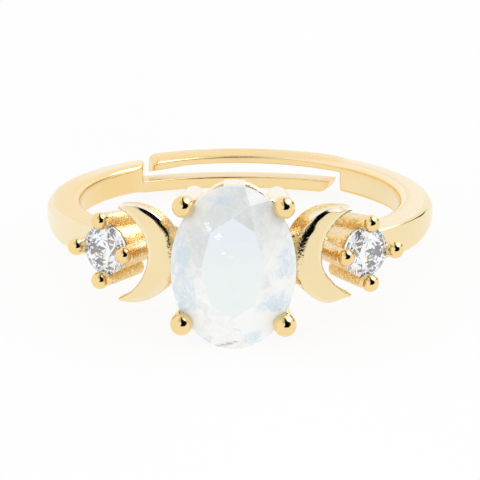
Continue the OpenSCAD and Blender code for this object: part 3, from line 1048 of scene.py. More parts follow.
def mark_facets(stone, front, seed):
    """Gives each facet a number of its own, from its direction, and marks the table."""
    numbers = []
    tables = []
    for polygon in stone.data.polygons:
        n = polygon.normal
        key = round(n.x, 2) * 12.9898 + round(n.y, 2) * 78.233 + round(n.z, 2) * 37.719 + seed
        numbers.append(abs(math.sin(key) * 43758.5453) % 1.0)
        tables.append(1.0 if n.dot(front) > 0.995 else 0.0)
    write(stone, "facet", numbers, "FACE")
    write(stone, "table", tables, "FACE")


def moonstone_mesh(head, finger_r, grow=0.0):
    """Moonstone in the head's own frame, larger by a growth on every side."""
    size = (head.stone_wide, head.stone_high)
    table = (head.table_wide, head.table_high)
    heights = (MOONSTONE_CROWN, MOONSTONE_PAVILION)
    stone = cut_stone("moonstone", size, table, *heights, MOONSTONE_SPREAD, MOONSTONE_LEAN, grow)
    moved(stone, Matrix.Translation((0, -finger_r - head.stone_out, -head.stone_drop)))
    return stone


def side_stone_mesh(name, side, finger_r, grow=0.0):
    """Side stone in its setting's own frame, before that is turned round the finger."""
    size = (side.stone, side.stone)
    table = (TABLE_REACH, TABLE_REACH)
    stone = cut_stone(name, size, table, SIDE_CROWN, SIDE_PAVILION, 0, 0, grow)
    moved(stone, Matrix.Translation((0, -finger_r - side.stone_out, -side.drop)))
    return stone


def head_matrix():
    """Turns the head up from the band."""
    return Matrix.Rotation(-sizes("head").tilt, 4, "X")


# The band

# Distances along the strip of a half, in millimetres: of the loops that hold the tongue's end, of the first
# block's end, and of the loops beside the step.
END_LOOPS = (0, 0.05, 0.14, 0.26, 0.42)
END_BLOCK = 0.6
STEP_LOOP = 0.45
TONGUE_BLOCKS = 13
ARM_BLOCKS = 24
# Each half springs about a line this far in front of the finger's axis, and the lower tongue is bent about
# one this far behind it.
SPRING_FRONT = 9.0
BEND_BEHIND = 6.5


class HalfPlan:
    """Places on one half of the band, as arc lengths, radii and heights in a straight strip.

    Each half is drawn as the right one, with its tongue above. The left half, whose hand is -1, is turned
    over at the end, so that its tongue lies below.
    """

    def __init__(self, s, hand):
        self.s = s
        self.hand = hand
        self.upper = hand > 0
        self.tongue = s.upper_tongue if self.upper else s.lower_tongue
        self.end_round = s.upper_end if self.upper else s.lower_end
        self.dome = s.upper_dome if self.upper else s.lower_dome
        self.dome_high = s.upper_dome_high if self.upper else s.lower_dome_high
        self.inner = s.finger / 2
        self.outer = self.inner + s.thick
        self.middle = (self.inner + self.outer) / 2
        self.top = s.wide / 2
        self.cut = self.top - self.tongue
        self.step = s.step - hand * s.aside
        self.end_x = s.end_gap - s.step - hand * s.aside
        self.square_to = math.asin((self.step + STEP_LOOP) / self.middle)
        self.rise = s.spring / (self.inner + SPRING_FRONT)


def eased(u, v):
    """Moves a point of a unit square so that the corner at (1, 1) becomes a quarter circle."""
    return u * math.sqrt(1 - v * v / 2), v * math.sqrt(1 - u * u / 2)


def band_cage(name, places, radii, levels, step_at, upper_from):
    """Blocks of a half band in a straight strip: along it, across the finger's radius, and up."""
    numbers = {}
    verts = []

    def solid(i, j, k):
        if not (0 <= i < len(places) - 1 and 0 <= j < len(radii) - 1 and 0 <= k < len(levels) - 1):
            return False
        return k >= upper_from or i >= step_at

    def corner(i, j, k):
        if (i, j, k) not in numbers:
            numbers[(i, j, k)] = len(verts)
            verts.append((places[i], radii[j], levels[k]))
        return numbers[(i, j, k)]

    sides = (
        ((-1, 0, 0), ((0, 0, 0), (0, 0, 1), (0, 1, 1), (0, 1, 0))),
        ((1, 0, 0), ((1, 0, 0), (1, 1, 0), (1, 1, 1), (1, 0, 1))),
        ((0, -1, 0), ((0, 0, 0), (1, 0, 0), (1, 0, 1), (0, 0, 1))),
        ((0, 1, 0), ((0, 1, 0), (0, 1, 1), (1, 1, 1), (1, 1, 0))),
        ((0, 0, -1), ((0, 0, 0), (0, 1, 0), (1, 1, 0), (1, 0, 0))),
        ((0, 0, 1), ((0, 0, 1), (1, 0, 1), (1, 1, 1), (0, 1, 1))),
    )
    faces = []
    for i in range(len(places) - 1):
        for j in range(len(radii) - 1):
            for k in range(len(levels) - 1):
                if not solid(i, j, k):
                    continue
                for (di, dj, dk), corners in sides:
                    if not solid(i + di, j + dj, k + dk):
                        faces.append([corner(i + a, j + b, k + c) for a, b, c in corners])
    return new_object(name, verts, faces)


def band_blank(name, plan):
    """Straight strip of a half with its step and tongue, as a fine mesh with rounded edges."""
    s = plan.s
    edge = s.cut_edge
    xs = [plan.end_x + d for d in END_LOOPS]
    first = plan.end_x + END_BLOCK
    last = plan.step - STEP_LOOP
    xs += [mix(first, last, i / TONGUE_BLOCKS) for i in range(TONGUE_BLOCKS + 1)]
    step_at = len(xs) + 1
    xs += [plan.step - edge, plan.step, plan.step + edge, plan.step + STEP_LOOP]
    # The places are arc lengths from the middle of the back.
    places = [plan.middle * math.asin(x / plan.middle) for x in xs]
    start = places[-1]
    end = plan.middle * (math.pi - s.shoulder)
    places += [mix(start, end - s.shoulder_edge, i / ARM_BLOCKS) for i in range(1, ARM_BLOCKS + 1)]
    places.append(end)
    radii = [plan.inner, plan.inner + edge, plan.outer - edge, plan.outer]
    levels = [-plan.top, edge - plan.top]
    levels += [plan.cut - edge, plan.cut, plan.cut + edge]
    levels += [plan.top - edge, plan.top]
    blank = band_cage(name, places, radii, levels, step_at, levels.index(plan.cut))
    outwards(blank)
    curve = blank.modifiers.new("rounding", "SUBSURF")
    curve.levels = 3
    curve.render_levels = 3
    return baked(blank, name)


def band_tones(plan, a, x, r, z, overlap):
    """Inside, deep, matt and warm tones at a point of the strip.

    Inside is the golden rounding along the finger hole, which holds a painted glint and a painted reflection
    line; deep is painted shade and reflection of darker gold in the hole, on the tongues and at the ends; the
    third is the satin's paler colour, partly a painted highlight, on the left half's outer edge; and warm the
    part of the side faces that is golden.
    """
    inner = plan.inner
    hole = fading(r, inner + 0.1, inner + 0.7)
    wall = fading(r, inner + 0.02, inner + 0.2)
    wedge = fading(x, plan.end_x + 0.1, plan.end_x + 0.4) * wall
    # Painted shade: deeper gold on the wall towards the upper side and towards the front.
    ceiling = 0.7 * smooth(plan.hand * z, -0.1, 0.8)
    ahead = 0.9 * smooth(a, 1.2, 1.8)
    if plan.upper:
        inside = hole * (1 - 0.85 * fading(x, -1.5, 0.5))
        # The tongue gets deeper gold towards the finger hole as painted shade, most along a line at the
        # middle of the back, which is a painted reflection.
        golden = 0.6 * overlap * fading(r, inner + 0.5, inner + 1.1)
        line = smooth(r, inner + 0.7, inner + 0.85) * fading(r, inner + 0.95, inner + 1.1)
        line *= 1.7 * fading(abs(x), 0.9, 2.4)
        tip = 1.2 * fading(x, plan.end_x + 0.02, plan.end_x + 0.08)
        deep = max(wall * max(ceiling, ahead), tip, wedge, golden, line)
        return inside, deep, 0.0, 0.8 * overlap
    inside = 0.3 * hole * (1 - 0.7 * overlap)
    # The left half gets deeper gold along the finger hole as painted shade, and its tongue along the lower
    # edge there, which is the strip's top before the half is turned over.
    golden = 0.8 * fading(r, inner + 0.1, inner + 0.5) * (1 - overlap) * fading(a, 1.7, 2.1)
    line = smooth(z, plan.top - 0.22, plan.top - 0.05) * overlap * wall
    tip = 1.2 * fading(x, plan.end_x + 0.02, plan.end_x + 0.8)
    deep = max(wall * max(ceiling, ahead, 0.5 * overlap), tip, wedge, golden, line)
    matt = 0.7 * smooth(r, plan.outer - 0.3, plan.outer)
    warm = max(0.8 * overlap, 0.9 * smooth(a, 0.9, 1.4))
    return inside, deep, matt, warm


def long_edges(plan, a, x, r, z, overlap):
    """Rounds the long edges off, least on the outside near the shoulder."""
    s = plan.s
    outer_wide = mix(s.outer_edge, 0.9 * plan.tongue, overlap)
    outer_wide = mix(outer_wide, s.ridge, smooth(a, 1.65, 2.1))
    domed = fading(x, plan.step - 3.0, plan.step + 1.5) if plan.upper else overlap
    inner_wide = mix(s.inner_dome, plan.dome, domed)
    inner_high = mix(s.inner_edge, plan.dome_high, domed)
    highest = mix(1.0, 0.8 * plan.tongue, overlap)
    for way, wall, wide, high in (
        (1, plan.outer, outer_wide, 0.9 * outer_wide),
        (-1, plan.inner, inner_wide, inner_high),
    ):
        high = min(high, highest)
        u = 1 - (wall - r) * way / wide
        v = 1 - (plan.top - abs(z)) / high
        if u > 0 and v > 0:
            u, v = eased(min(u, 1), min(v, 1))
            r = wall - way * wide * (1 - u)
            z = math.copysign(plan.top - high * (1 - v), z)
    return r, z


def step_corner(plan, a, x, z):
    """Rounds the step's free corner, and lays the right half a little deeper beside its step."""
    s = plan.s
    below = max((plan.cut - z) / (plan.cut + plan.top), 0)
    into = max(plan.step + s.corner - x, 0)
    lift = s.corner - math.sqrt(max(s.corner ** 2 - into ** 2, 0))
    if plan.upper:
        lift -= s.deeper * fading(a, 0.8, 1.9)
    return z + lift * below


def tongue_shape(plan, x, r, z):
    """Slopes the slit under the upper tongue, and rounds the upper corner of a tongue's end."""
    s = plan.s
    low = plan.cut
    if plan.upper:
        near_cut = fading(abs(z - plan.cut), 0.1, 0.45)
        at_end = fading(x, plan.end_x + 0.2, plan.end_x + 2.4)
        fall = mix(s.slit, s.slit_end, at_end) * (r - plan.inner) / s.thick + s.end_wider * at_end
        fall *= fading(x, plan.step + 0.1, plan.step + 1.0)
        z -= fall * near_cut
        low -= fall
    reach = plan.end_x + plan.end_round - x
    if reach > 0:
        ceiling = plan.top - plan.end_round + math.sqrt(max(plan.end_round ** 2 - reach ** 2, 0.0))
        z = mix(low, ceiling, (z - low) / (plan.top - low))
    return z


def wrapped(plan, a, x, r, z):
    """Lays a point of the strip round the finger, springs the half and bends the lower tongue down."""
    s = plan.s
    # Near the back the cuts stay square to the sideways direction, and the tongue's end is cut back inside.
    x += math.tan(s.slant) * (plan.outer - r) * fading(x, plan.end_x + 0.7, plan.end_x + 2.5)
    square = fading(a, plan.square_to, plan.square_to + 0.5)
    a = mix(a, math.asin(min(max(x / r, -1), 1)), square)
    px = r * math.sin(a)
    py = r * math.cos(a)
    pz = z + (py + SPRING_FRONT) * plan.rise
    if not plan.upper and py > 0:
        pz += (py - BEND_BEHIND) * math.sin(s.bend) * fading(px, plan.step - 0.1, plan.step + 0.5)
    return plan.hand * px, py, plan.hand * pz


def band_half(name, s, hand):
    """One half of the band, with its tones as attributes of its points."""
    plan = HalfPlan(s, hand)
    half = band_blank(name, plan)
    tones = []
    for vertex in half.data.vertices:
        along, r, z = vertex.co
        a = along / plan.middle
        x = plan.middle * math.sin(min(a, math.pi / 2))
        overlap = fading(x, plan.step - 0.3, plan.step + 0.6)
        tones.append(band_tones(plan, a, x, r, z, overlap))
        r, z = long_edges(plan, a, x, r, z, overlap)
        z = step_corner(plan, a, x, z)
        z = tongue_shape(plan, x, r, z)
        vertex.co = wrapped(plan, a, x, r, z)
    for label, values in zip(("inside", "deep", "matt", "warm"), zip(*tones)):
        write(half, label, values)
    return half


class RING_OT_band(bpy.types.Operator):
    """Builds the two halves of the band, whose ends overlap at the back"""

    bl_idname = "ring.band"
    bl_label = "Band halves"

    def execute(self, context):
        s = sizes("band")
        for name, hand in (("band_right", 1), ("band_left", -1)):
            half = band_half(name, s, hand)
            finish(half, name, PAINTS["band"], "band_and_settings")
        return {"FINISHED"}


class RING_OT_base(bpy.types.Operator):
    """Builds the narrow arc of metal under the head"""

    bl_idname = "ring.base"
    bl_label = "Base arc"

    def execute(self, context):
        s = sizes("band")
        radius = (s.finger + s.base_thick) / 2
        # The arc stops one degree short of the band's front ends.
        reach = s.shoulder - math.radians(1)
        count = 64
        points = []
        across = []
        for i in range(count + 1):
            a = mix(-reach, reach, i / count)
            out = Vector((math.sin(a), -math.cos(a), 0))
            points.append(out * radius)
            across.append(out)
        section = (s.base_thick, s.base_wide, s.base_edge)
        arc = rail("base_arc", points, across, *section, PAINTS["gold"], False)
        moved(arc, head_matrix())
        # The whole arc under the head is rough gold, its deeper colour painted shade.
        paint(arc, "cast", lambda p, n: 0.7)
        finish(arc, "base_arc", PAINTS["gold"], "band_and_settings", ARC_CRISP)
        return {"FINISHED"}


# Places in the head in millimetres: sideways from its middle, outwards from the finger's surface, and up.
PRONG_FOOT = (2.0, 0.5, 2.55)
LINK_ENDS = ((2.2, 2.05, 0.8), (3.7, 1.45, 1.2))
FOOT_ENDS = ((1.9, 0.55, -0.2), (3.3, 0.25, -0.2))
LINK_R = 0.4
FOOT_R = 0.3
# The balls' centres lie this far out from the moonstone's girdle.
BALL_OUT = 0.4
# The lower right ball is larger by this much.
BALL_MORE = 0.02
# The lower balls run out into a point, from their centres sideways, inwards and up. Its root is this share of
# the ball's radius, and its tip has a radius and a ball of its own.
DROP_RUN = (0.10, 0.12, 0.56)
DROP_ROOT = 0.93
DROP_TIP = 0.12
DROP_BALL = 0.1
# Half width, half height and wall of the base rail, and how far out both rails begin and end.
BASE_RAIL = (2.65, 3.2, 0.7)
BASE_RAIL_OUT = (0.3, 0.9)
GALLERY_WALL = 0.5
GALLERY_OUT = (1.85, 2.3)
# The tabs above and below the moonstone: height of their middles, their path outwards, width and thickness.
TAB_UP = 3.62
TAB_OUTS = (2.1, 2.6, 3.1, 3.6)
TAB_SIZE = (1.04, 0.4)


def head_point(place, r, sx=1, sz=1):
    """Point of the head, mirrored by signs."""
    aside, out, up = place
    return sx * aside, -r - out, sz * up


class RING_OT_moonstone_setting(bpy.types.Operator):
    """Builds the moonstone's prongs, rails, tabs and links"""

    bl_idname = "ring.moonstone_setting"
    bl_label = "Moonstone setting"

    def execute(self, context):
        s = sizes("band")
        h = sizes("head")
        r = s.finger / 2
        gold = PAINTS["gold"]
        centre_out = h.stone_out + BALL_OUT
        lines = []
        radii = []
        for sx in (-1, 1):
            for x, z, ball, sz in (
                (h.upper_x, h.upper_z, h.upper_ball, 1),
                (h.lower_x, h.lower_z, h.lower_ball, -1),
            ):
                foot = head_point(PRONG_FOOT, r, sx, sz)
                lines.append((foot, head_point((x, centre_out, z), r, sx, sz)))
                radii.append(ball + (BALL_MORE if sx > 0 and sz < 0 else 0))
        solids = prongs("prong", lines, radii, h.foot_r, h.tip_r, gold)
        drops = []
        for sx in (-1, 1):
            centre = Vector(head_point((h.lower_x, centre_out, h.lower_z), r, sx, -1))
            aside, inwards, up = DROP_RUN
            drops.append((centre, centre + Vector((sx * aside, inwards, up))))
        solids += prongs("drop", drops, [DROP_BALL] * 2, h.lower_ball * DROP_ROOT, DROP_TIP, gold)
        near, far = GALLERY_OUT
        solids.append(oval_rail("gallery_rail", h.rail_x, h.rail_z, GALLERY_WALL, r + near, r + far, gold))
        near, far = BASE_RAIL_OUT
        solids.append(oval_rail("base_rail", *BASE_RAIL, r + near, r + far, gold))
        bars = [[head_point(end, r, sx, sz) for end in LINK_ENDS] for sx in (-1, 1) for sz in (-1, 1)]
        links = prongs("link", bars, [0.0] * len(bars), LINK_R, LINK_R, gold, 8, 32)
        feet = [[head_point(end, r, sx) for end in FOOT_ENDS] for sx in (-1, 1)]
        links += prongs("foot", feet, [0.0] * len(feet), FOOT_R, FOOT_R, gold, 8, 32)
        for sz in (-1, 1):
            path = [head_point((0, out, TAB_UP), r, 1, sz) for out in TAB_OUTS]
            sideways = [(1, 0, 0)] * len(path)
            solids.append(rail("tab", path, sideways, *TAB_SIZE, RAIL_ROUNDING, gold, False))
        hole = cylinder("finger", r, CUTTER_HALF)
        moved(hole, head_matrix().inverted())
        seat = moonstone_mesh(h, r, SEAT_GAP)
        setting = combined("moonstone_setting", solids + links, [hole, seat])
        drop(hole, seat)
        front = r + h.stone_out

        def behind(p):
            return fading(-p.y, front - 0.5, front + 0.1)

        def between(p):
            """The space between the prongs, where the links are."""
            return smooth(abs(p.x), 2.5, 2.8) * fading(abs(p.z), 1.6, 1.9)

        # Undersides and the space between the prongs are rough gold with painted shade, and upper sides get
        # painted light.
        paint(setting, "cast", lambda p, n: behind(p) * max(fading(n.z, -0.1, 0.4), between(p)))
        paint(setting, "pale", lambda p, n: behind(p) * smooth(n.z, 0.15, 0.6) * (1 - between(p)))
        paint(setting, "rich", lambda p, n: 0.4 * (1 - behind(p)))
        moved(setting, head_matrix())
        finish(setting, "moonstone_setting", gold, "band_and_settings", SETTING_CRISP)
        return {"FINISHED"}


# Width of the rounding of a crescent's outer edge, by the angle from the direction that its horns point in,
# from the upper horn to the lower one. The key is 1 for the right crescent and -1 for the left one.
ROUNDING = {
    1: (
        (78, 0.16), (90, 0.22), (108, 0.14), (122, 0.26), (142, 0.56),
        (165, 0.62), (192, 0.56), (215, 0.36), (262, 0.18), (283, 0.10),
    ),
    -1: (
        (78, 0.04), (95, 0.08), (120, 0.24), (150, 0.40),
        (180, 0.46), (225, 0.45), (262, 0.30), (283, 0.12),
    ),
}
# The edge's profile changes over these angles, and its kink and bevel have these shares of their sizes before
# and after them.
EDGE_CHANGE = {1: (105, 121), -1: (105, 160)}
KINK_SHARES = {1: (1.35, 0.18), -1: (1.0, 0.3)}
BEVEL_SHARES = {1: (1.75, 0.85), -1: (1.4, 1.0)}
# How strongly the rough lower part of the edge is torn, and the angle at which it starts.
TORN = {1: (0.25, 125), -1: (0.45, 145)}
LEFT_FLARE = 0.05
# The right crescent's lower horn is turned up, on the hollow's side and on the outer side.
HOLLOW_LIFT = 0.3
OUTER_LIFT = 0.32
# Turns of the sections that round a horn's end off, and that end's length as a share of its width.
HORN_TURNS = (30, 55, 75, 89)
HORN_LENGTH = 0.6
CRESCENT_STEPS = 72


def on_curve(points, x):
    """Value at x of a smooth curve through the points."""
    for (x1, y1), (x2, y2) in zip(points, points[1:]):
        if x <= x2:
            return mix(y1, y2, smooth(x, x1, x2))
    return points[-1][1]


def horn_cap(last, before):
    """Stations that round a horn's blunt end off."""
    outer, inner, t, _, around = last
    middle = (outer + inner) / 2
    ahead = middle - (before[0] + before[1]) / 2
    ahead = ahead.normalized() * (outer - inner).length * HORN_LENGTH
    caps = []
    for turn in HORN_TURNS:
        shrink = math.cos(math.radians(turn))
        shift = middle + ahead * math.sin(math.radians(turn))
        caps.append((shift + (outer - middle) * shrink, shift + (inner - middle) * shrink, t, shrink, around))
    return caps


def crescent_stations(c, side):
    """Stations from the lower horn to the upper one.

    Each has its points on the outer curve and on the hollow, its way along from -1 to 1, its share of the
    full thickness, and its angle from the direction that the horns point in.
    """
    outer_end = math.acos(c.horn / c.outer)
    hollow_end = math.acos((c.horn - c.shift) / c.hollow)
    stations = []
    for i in range(CRESCENT_STEPS + 1):
        t = -math.cos(math.pi * i / CRESCENT_STEPS)
        a = math.pi - t * (math.pi - outer_end)
        b = math.pi - t * (math.pi - hollow_end)
        outer = Vector((c.outer * math.cos(a), c.outer * math.sin(a)))
        inner = Vector((c.shift + c.hollow * math.cos(b), c.hollow * math.sin(b)))
        if side > 0 and t < 0:
            inner.y += HOLLOW_LIFT * smooth(-inner.y, 0.3, 1.6)
            outer.y += OUTER_LIFT * smooth(outer.x, -0.9, 0.45)
        stations.append((outer, inner, t, 1.0, math.degrees(a)))
    lower = horn_cap(stations[0], stations[1])
    upper = horn_cap(stations[-1], stations[-2])
    return lower[::-1] + stations + upper


def crescent_edge(c, side, around):
    """Profile of the outer edge from the face down: a kink, a flatter part and a round end."""
    past = smooth(around, *EDGE_CHANGE[side])
    kink = c.kink * mix(*KINK_SHARES[side], past)
    bevel = c.bevel * mix(*BEVEL_SHARES[side], past)
    flat = 9
    bent = 6
    slopes = [(1.0, mix(kink, bevel, (q + 0.5) / flat)) for q in range(flat)]
    slopes += [(0.5, mix(bevel, math.pi / 2, (q + 0.5) / bent)) for q in range(bent)]
    edge = [(0.0, 0.0)]
    for piece, slope in slopes:
        x, z = edge[-1]
        edge.append((x + piece * math.cos(slope), z + piece * math.sin(slope)))
    return edge


def crescent_section(c, side, wide, t, shrink, around):
    """Outline of a station's section, as distances from the outer curve and heights."""
    front = c.edge
    back = front - c.thick
    low = mix(front - 0.3, back, shrink)
    high = mix(front - 0.15, front, shrink)
    soft = min(on_curve(ROUNDING[side], around), 0.45 * wide)
    lip = min(c.lip * (1 - 0.75 * abs(t) ** 3), 0.2 * wide)
    out = (c.flare if side > 0 else LEFT_FLARE) * fading(abs(t), 0.5, 1.0) * fading(-t, 0.0, 0.35)
    edge = crescent_edge(c, side, around)
    size = soft / edge[-1][0]
    deep = edge[-1][1] * size
    # Up the outer side, over its edge and the face, round the rim into the hollow, and back below.
    section = [(-out * (1 - f) ** 1.5, mix(low, high - deep, f)) for f in (0.0, 0.2, 0.4, 0.6, 0.8, 0.93)]
    section += [(soft - x * size, high - z * size) for x, z in reversed(edge)]
    for f in (0.03, 0.12, 0.25, 0.38, 0.5, 0.62, 0.75, 0.86, 0.93, 0.97):
        section.append((mix(soft, wide - lip, f), high + 0.005 * wide * math.sin(math.pi * f)))
    for q in range(6):
        a = math.pi / 2 * q / 5
        section.append((wide - lip + lip * math.sin(a), high - lip + lip * math.cos(a)))
    section += [(wide, mix(high - lip, low, f)) for f in (0.1, 0.4, 0.7, 1.0)]
    section += [(wide * f - out * (1 - f), low) for f in (0.75, 0.5, 0.25)]
    return section


def paint_crescent(plate, c, side):
    """Paints a plate's rough gold with painted shade, its painted highlights and its torn bumps, before it is
    laid in its place.
    """
    front = c.edge
    back = front - c.thick
    strength, start = TORN[side]

    def to_hollow(p):
        turned_up = HOLLOW_LIFT * smooth(0.2 - p.z, 0.3, 1.6) if side > 0 else 0
        return math.hypot(side * p.x - c.shift, p.z - turned_up) - c.hollow

    # Painted shade: rough, deeper gold near the moonstone, on the wall behind the face, beside the rim and on
    # the lower part off the face.
    def cast(p, n):
        near = fading(side * p.x, -2.2, -1.5) * fading(-p.y, front - 0.3, front - 0.05)
        wall = 0.7 * fading(-p.y, back + 0.1, front - 0.3)
        rim = 0.9 * fading(to_hollow(p), 0.03, 0.09)
        lower = 0.9 * smooth(-p.z, 0.3, 1.0) * fading(-n.y, 0.25, 0.6)
        return max(near, wall, rim, lower)

    # Painted highlights: on the rim along the hollow, on the lower rounding and along the top.
    def pale(p, n):
        rim = 0.6 * smooth(to_hollow(p), 0.07, 0.11) * fading(to_hollow(p), 0.15, 0.24)
        lower = 0.35 * smooth(-p.z, 0.6, 1.4) * smooth(-n.z, 0.1, 0.3) * fading(-n.z, 0.6, 0.85)
        upper = 0.8 * smooth(p.z, 1.0, 1.8) * smooth(n.z, 0.3, 0.6)
        return max(rim * smooth(p.z, -1.0, 0.2), lower, upper) * smooth(-p.y, front - 0.6, front - 0.2)

    def torn(p, n):
        around = abs(math.degrees(math.atan2(p.z, side * p.x)))
        lean = smooth(-n.y, 0.3, 0.5) * fading(-n.y, 0.985, 0.998)
        return strength * lean * smooth(around, start, start + 20) * smooth(p.z, -1.2, -0.9)

    for name, rule in (("cast", cast), ("pale", pale), ("torn", torn)):
        paint(plate, name, rule)


def crescent_mesh(name, c, side, finger_r):
    """Crescent plate with a rounded outer edge, horns pointing away from the moonstone."""
    stations = crescent_stations(c, side)
    verts = []
    for outer, inner, t, shrink, around in stations:
        wide = (inner - outer).length
        unit = (inner - outer) / wide
        for u, z in crescent_section(c, side, wide, t, shrink, around):
            p = outer + unit * u
            verts.append((side * p.x, -z, p.y))
    n = len(verts) // len(stations)
    faces = []
    for i in range(len(stations) - 1):
        for j in range(n):
            k = (j + 1) % n
            faces.append((i * n + j, (i + 1) * n + j, (i + 1) * n + k, i * n + k))
    faces.append(tuple(range(n)))
    faces.append(tuple(reversed(range(len(verts) - n, len(verts)))))
    plate = new_object(name, verts, faces)
    outwards(plate, 1e-5)
    paint_crescent(plate, c, side)
    moved(plate, Matrix.Rotation(side * c.turn, 4, "Z"))
    moved(plate, Matrix.Translation((side * c.across, -finger_r - c.out, -c.drop)))
    return plate


class RING_OT_crescents(bpy.types.Operator):
    """Builds the two crescent plates"""

    bl_idname = "ring.crescents"
    bl_label = "Crescents"

    def execute(self, context):
        c = sizes("crescents")
        r = sizes("band").finger / 2
        for side, name in ((-1, "crescent_left"), (1, "crescent_right")):
            plate = crescent_mesh(name, c, side, r)
            moved(plate, head_matrix())
            finish(plate, name, PAINTS["gold"], "band_and_settings", SETTING_CRISP)
        return {"FINISHED"}


# A side setting's cup, as (radius, height over the finger's surface) about its own axis.
COLLET = (
    (0.5, -0.25), (1.05, -0.25), (1.13, 1.1), (1.19, 2.28),
    (1.17, 2.4), (1.1, 2.45), (0.95, 2.4), (0.5, 1.75),
)
# The prongs' feet stand this far from the axis and lie this deep in the band. The lowest foot is farther out.
SIDE_FOOT = 1.1
SIDE_LOW_FOOT = 1.36
SIDE_FOOT_DEPTH = 0.25
LOWEST = 270


class RING_OT_side_settings(bpy.types.Operator):
    """Builds the collet and four ball prongs of each side stone"""

    bl_idname = "ring.side_settings"
    bl_label = "Side settings"

    def execute(self, context):
        c = sizes("side")
        r = sizes("band").finger / 2
        gold = PAINTS["gold"]
        for side, name in ((-1, "side_setting_left"), (1, "side_setting_right")):
            lines = []
            for turn in (0, 90, 180, LOWEST):
                a = math.radians(turn)
                reach = SIDE_LOW_FOOT if turn == LOWEST else SIDE_FOOT
                aside = side * c.low_aside if turn == LOWEST else 0
                foot = (reach * math.cos(a) + aside, -r + SIDE_FOOT_DEPTH, reach * math.sin(a))
                ball = (c.prong * math.cos(a), -r - c.prong_out, c.prong * math.sin(a))
                lines.append((foot, ball))
            solids = prongs("prong", lines, [c.ball] * 4, c.foot_r, c.tip_r, gold)
            verts, faces = turned(COLLET)
            cup = new_object("collet", verts, faces)
            moved(cup, Matrix.Translation((0, -r, 0)) @ Matrix.Rotation(math.pi / 2, 4, "X"))
            outwards(cup)
            hole = cylinder("finger", r, CUTTER_HALF)
            seat = side_stone_mesh("seat", c, r, SEAT_GAP)
            moved(seat, Matrix.Translation((0, 0, c.drop)))
            setting = combined(name, [cup] + solids, [hole, seat])
            drop(hole, seat)
            front = r + c.prong_out

            def behind(p):
                return fading(-p.y, front - 0.75, front - 0.25)

            # Undersides behind the balls are rough gold with painted shade, and upper sides get painted
            # light.
            paint(setting, "cast", lambda p, n: behind(p) * max(0.5, fading(n.z, 0.35, 0.75)))
            paint(setting, "pale", lambda p, n: behind(p) * smooth(n.z, 0.5, 0.85) * 0.5)
            paint(setting, "rich", lambda p, n: 0.4 * (1 - behind(p)))
            moved(setting, Matrix.Translation((0, 0, -c.drop)))
            moved(setting, head_matrix() @ Matrix.Rotation(side * c.around, 4, "Z"))
            finish(setting, name, gold, "band_and_settings", SETTING_CRISP)
        return {"FINISHED"}


class RING_OT_moonstone(bpy.types.Operator):
    """Builds the oval faceted moonstone"""

    bl_idname = "ring.moonstone"
    bl_label = "Moonstone"

    def execute(self, context):
        stone = moonstone_mesh(sizes("head"), sizes("band").finger / 2)
        soften(stone, FACET_EDGE)
        moved(stone, head_matrix())
        # The table is the largest facet that faces the front.
        facing = [polygon for polygon in stone.data.polygons if polygon.normal.y < -0.9]
        table = max(facing, key=lambda polygon: polygon.area)
        mark_facets(stone, table.normal.copy(), context.scene.ring_studio.seed)
        finish(stone, "oval_moonstone", PAINTS["moonstone"], "moonstone", STONE_CRISP)
        return {"FINISHED"}


class RING_OT_side_stones(bpy.types.Operator):
    """Builds the two round brilliant-cut side stones"""

    bl_idname = "ring.side_stones"
    bl_label = "Side stones"

    def execute(self, context):
        c = sizes("side")
        for side, name in ((-1, "left"), (1, "right")):
            stone = side_stone_mesh("stone", c, sizes("band").finger / 2)
            moved(stone, head_matrix() @ Matrix.Rotation(side * c.around, 4, "Z"))
            node = "side_stone_" + name
            finish(stone, "brilliant_" + name, PAINTS["clear"], node, STONE_CRISP)
        return {"FINISHED"}


# The studio

# Cards that only reflections see: directions from the ring, as the camera sees them, and half widths.
DIM_CARD = (
    ((0.0, 0.30, 0.95), 0.50),
    ((0.0, 0.50, 0.87), 0.80),
    ((0.0, 0.75, 0.66), 0.80),
    ((0.0, 0.93, 0.36), 0.60),
)
DARK_CARD = (
    ((0.05, -0.78, 0.62), 0.18),
    ((0.05, -0.55, 0.83), 0.24),
    ((0.15, -0.26, 0.95), 0.33),
    ((0.42, 0.02, 0.92), 0.54),
    ((0.38, 0.24, 0.90), 0.50),
    ((0.20, 0.47, 0.86), 0.36),
    ((0.05, 0.75, 0.60), 0.13),
    ((-0.04, 0.95, 0.28), 0.10),
    ((-0.02, 0.99, -0.05), 0.08),
    ((0.02, 0.93, -0.36), 0.06),
)
SPOT_CARD = (
    ((0.74, -0.06, 0.66), 0.12),
    ((0.76, 0.14, 0.62), 0.20),
    ((0.66, 0.36, 0.66), 0.20),
    ((0.50, 0.52, 0.68), 0.10),
)
BRIGHT_CARD = (
    ((0.46, 0.70, 0.56), 0.14),
    ((0.54, 0.75, 0.38), 0.38),
    ((0.53, 0.82, 0.0), 0.32),
    ((0.55, 0.75, -0.40), 0.14),
)
EDGE_CARD = (
    ((0.83, 0.43, -0.24), 0.05),
    ((0.80, 0.42, -0.36), 0.10),
    ((0.47, 0.25, -0.85), 0.12),
)
# Each card's directions, distance in metres, brightness, and the share of its half width that fades out.
CARDS = {
    "dim_card": (DIM_CARD, 0.40, 0.6, 0.8),
    "dark_card": (DARK_CARD, 0.30, 0.0, 0.25),
    "edge_card": (EDGE_CARD, 0.31, 0.0, 0.4),
    "spot_card": (SPOT_CARD, 0.32, 0.0, 0.4),
    "bright_card": (BRIGHT_CARD, 0.29, 4.5, 0.4),
}
CARD_STEPS = 6
CARD_COLUMNS = 8
FLOOR_GLOW = 0.876


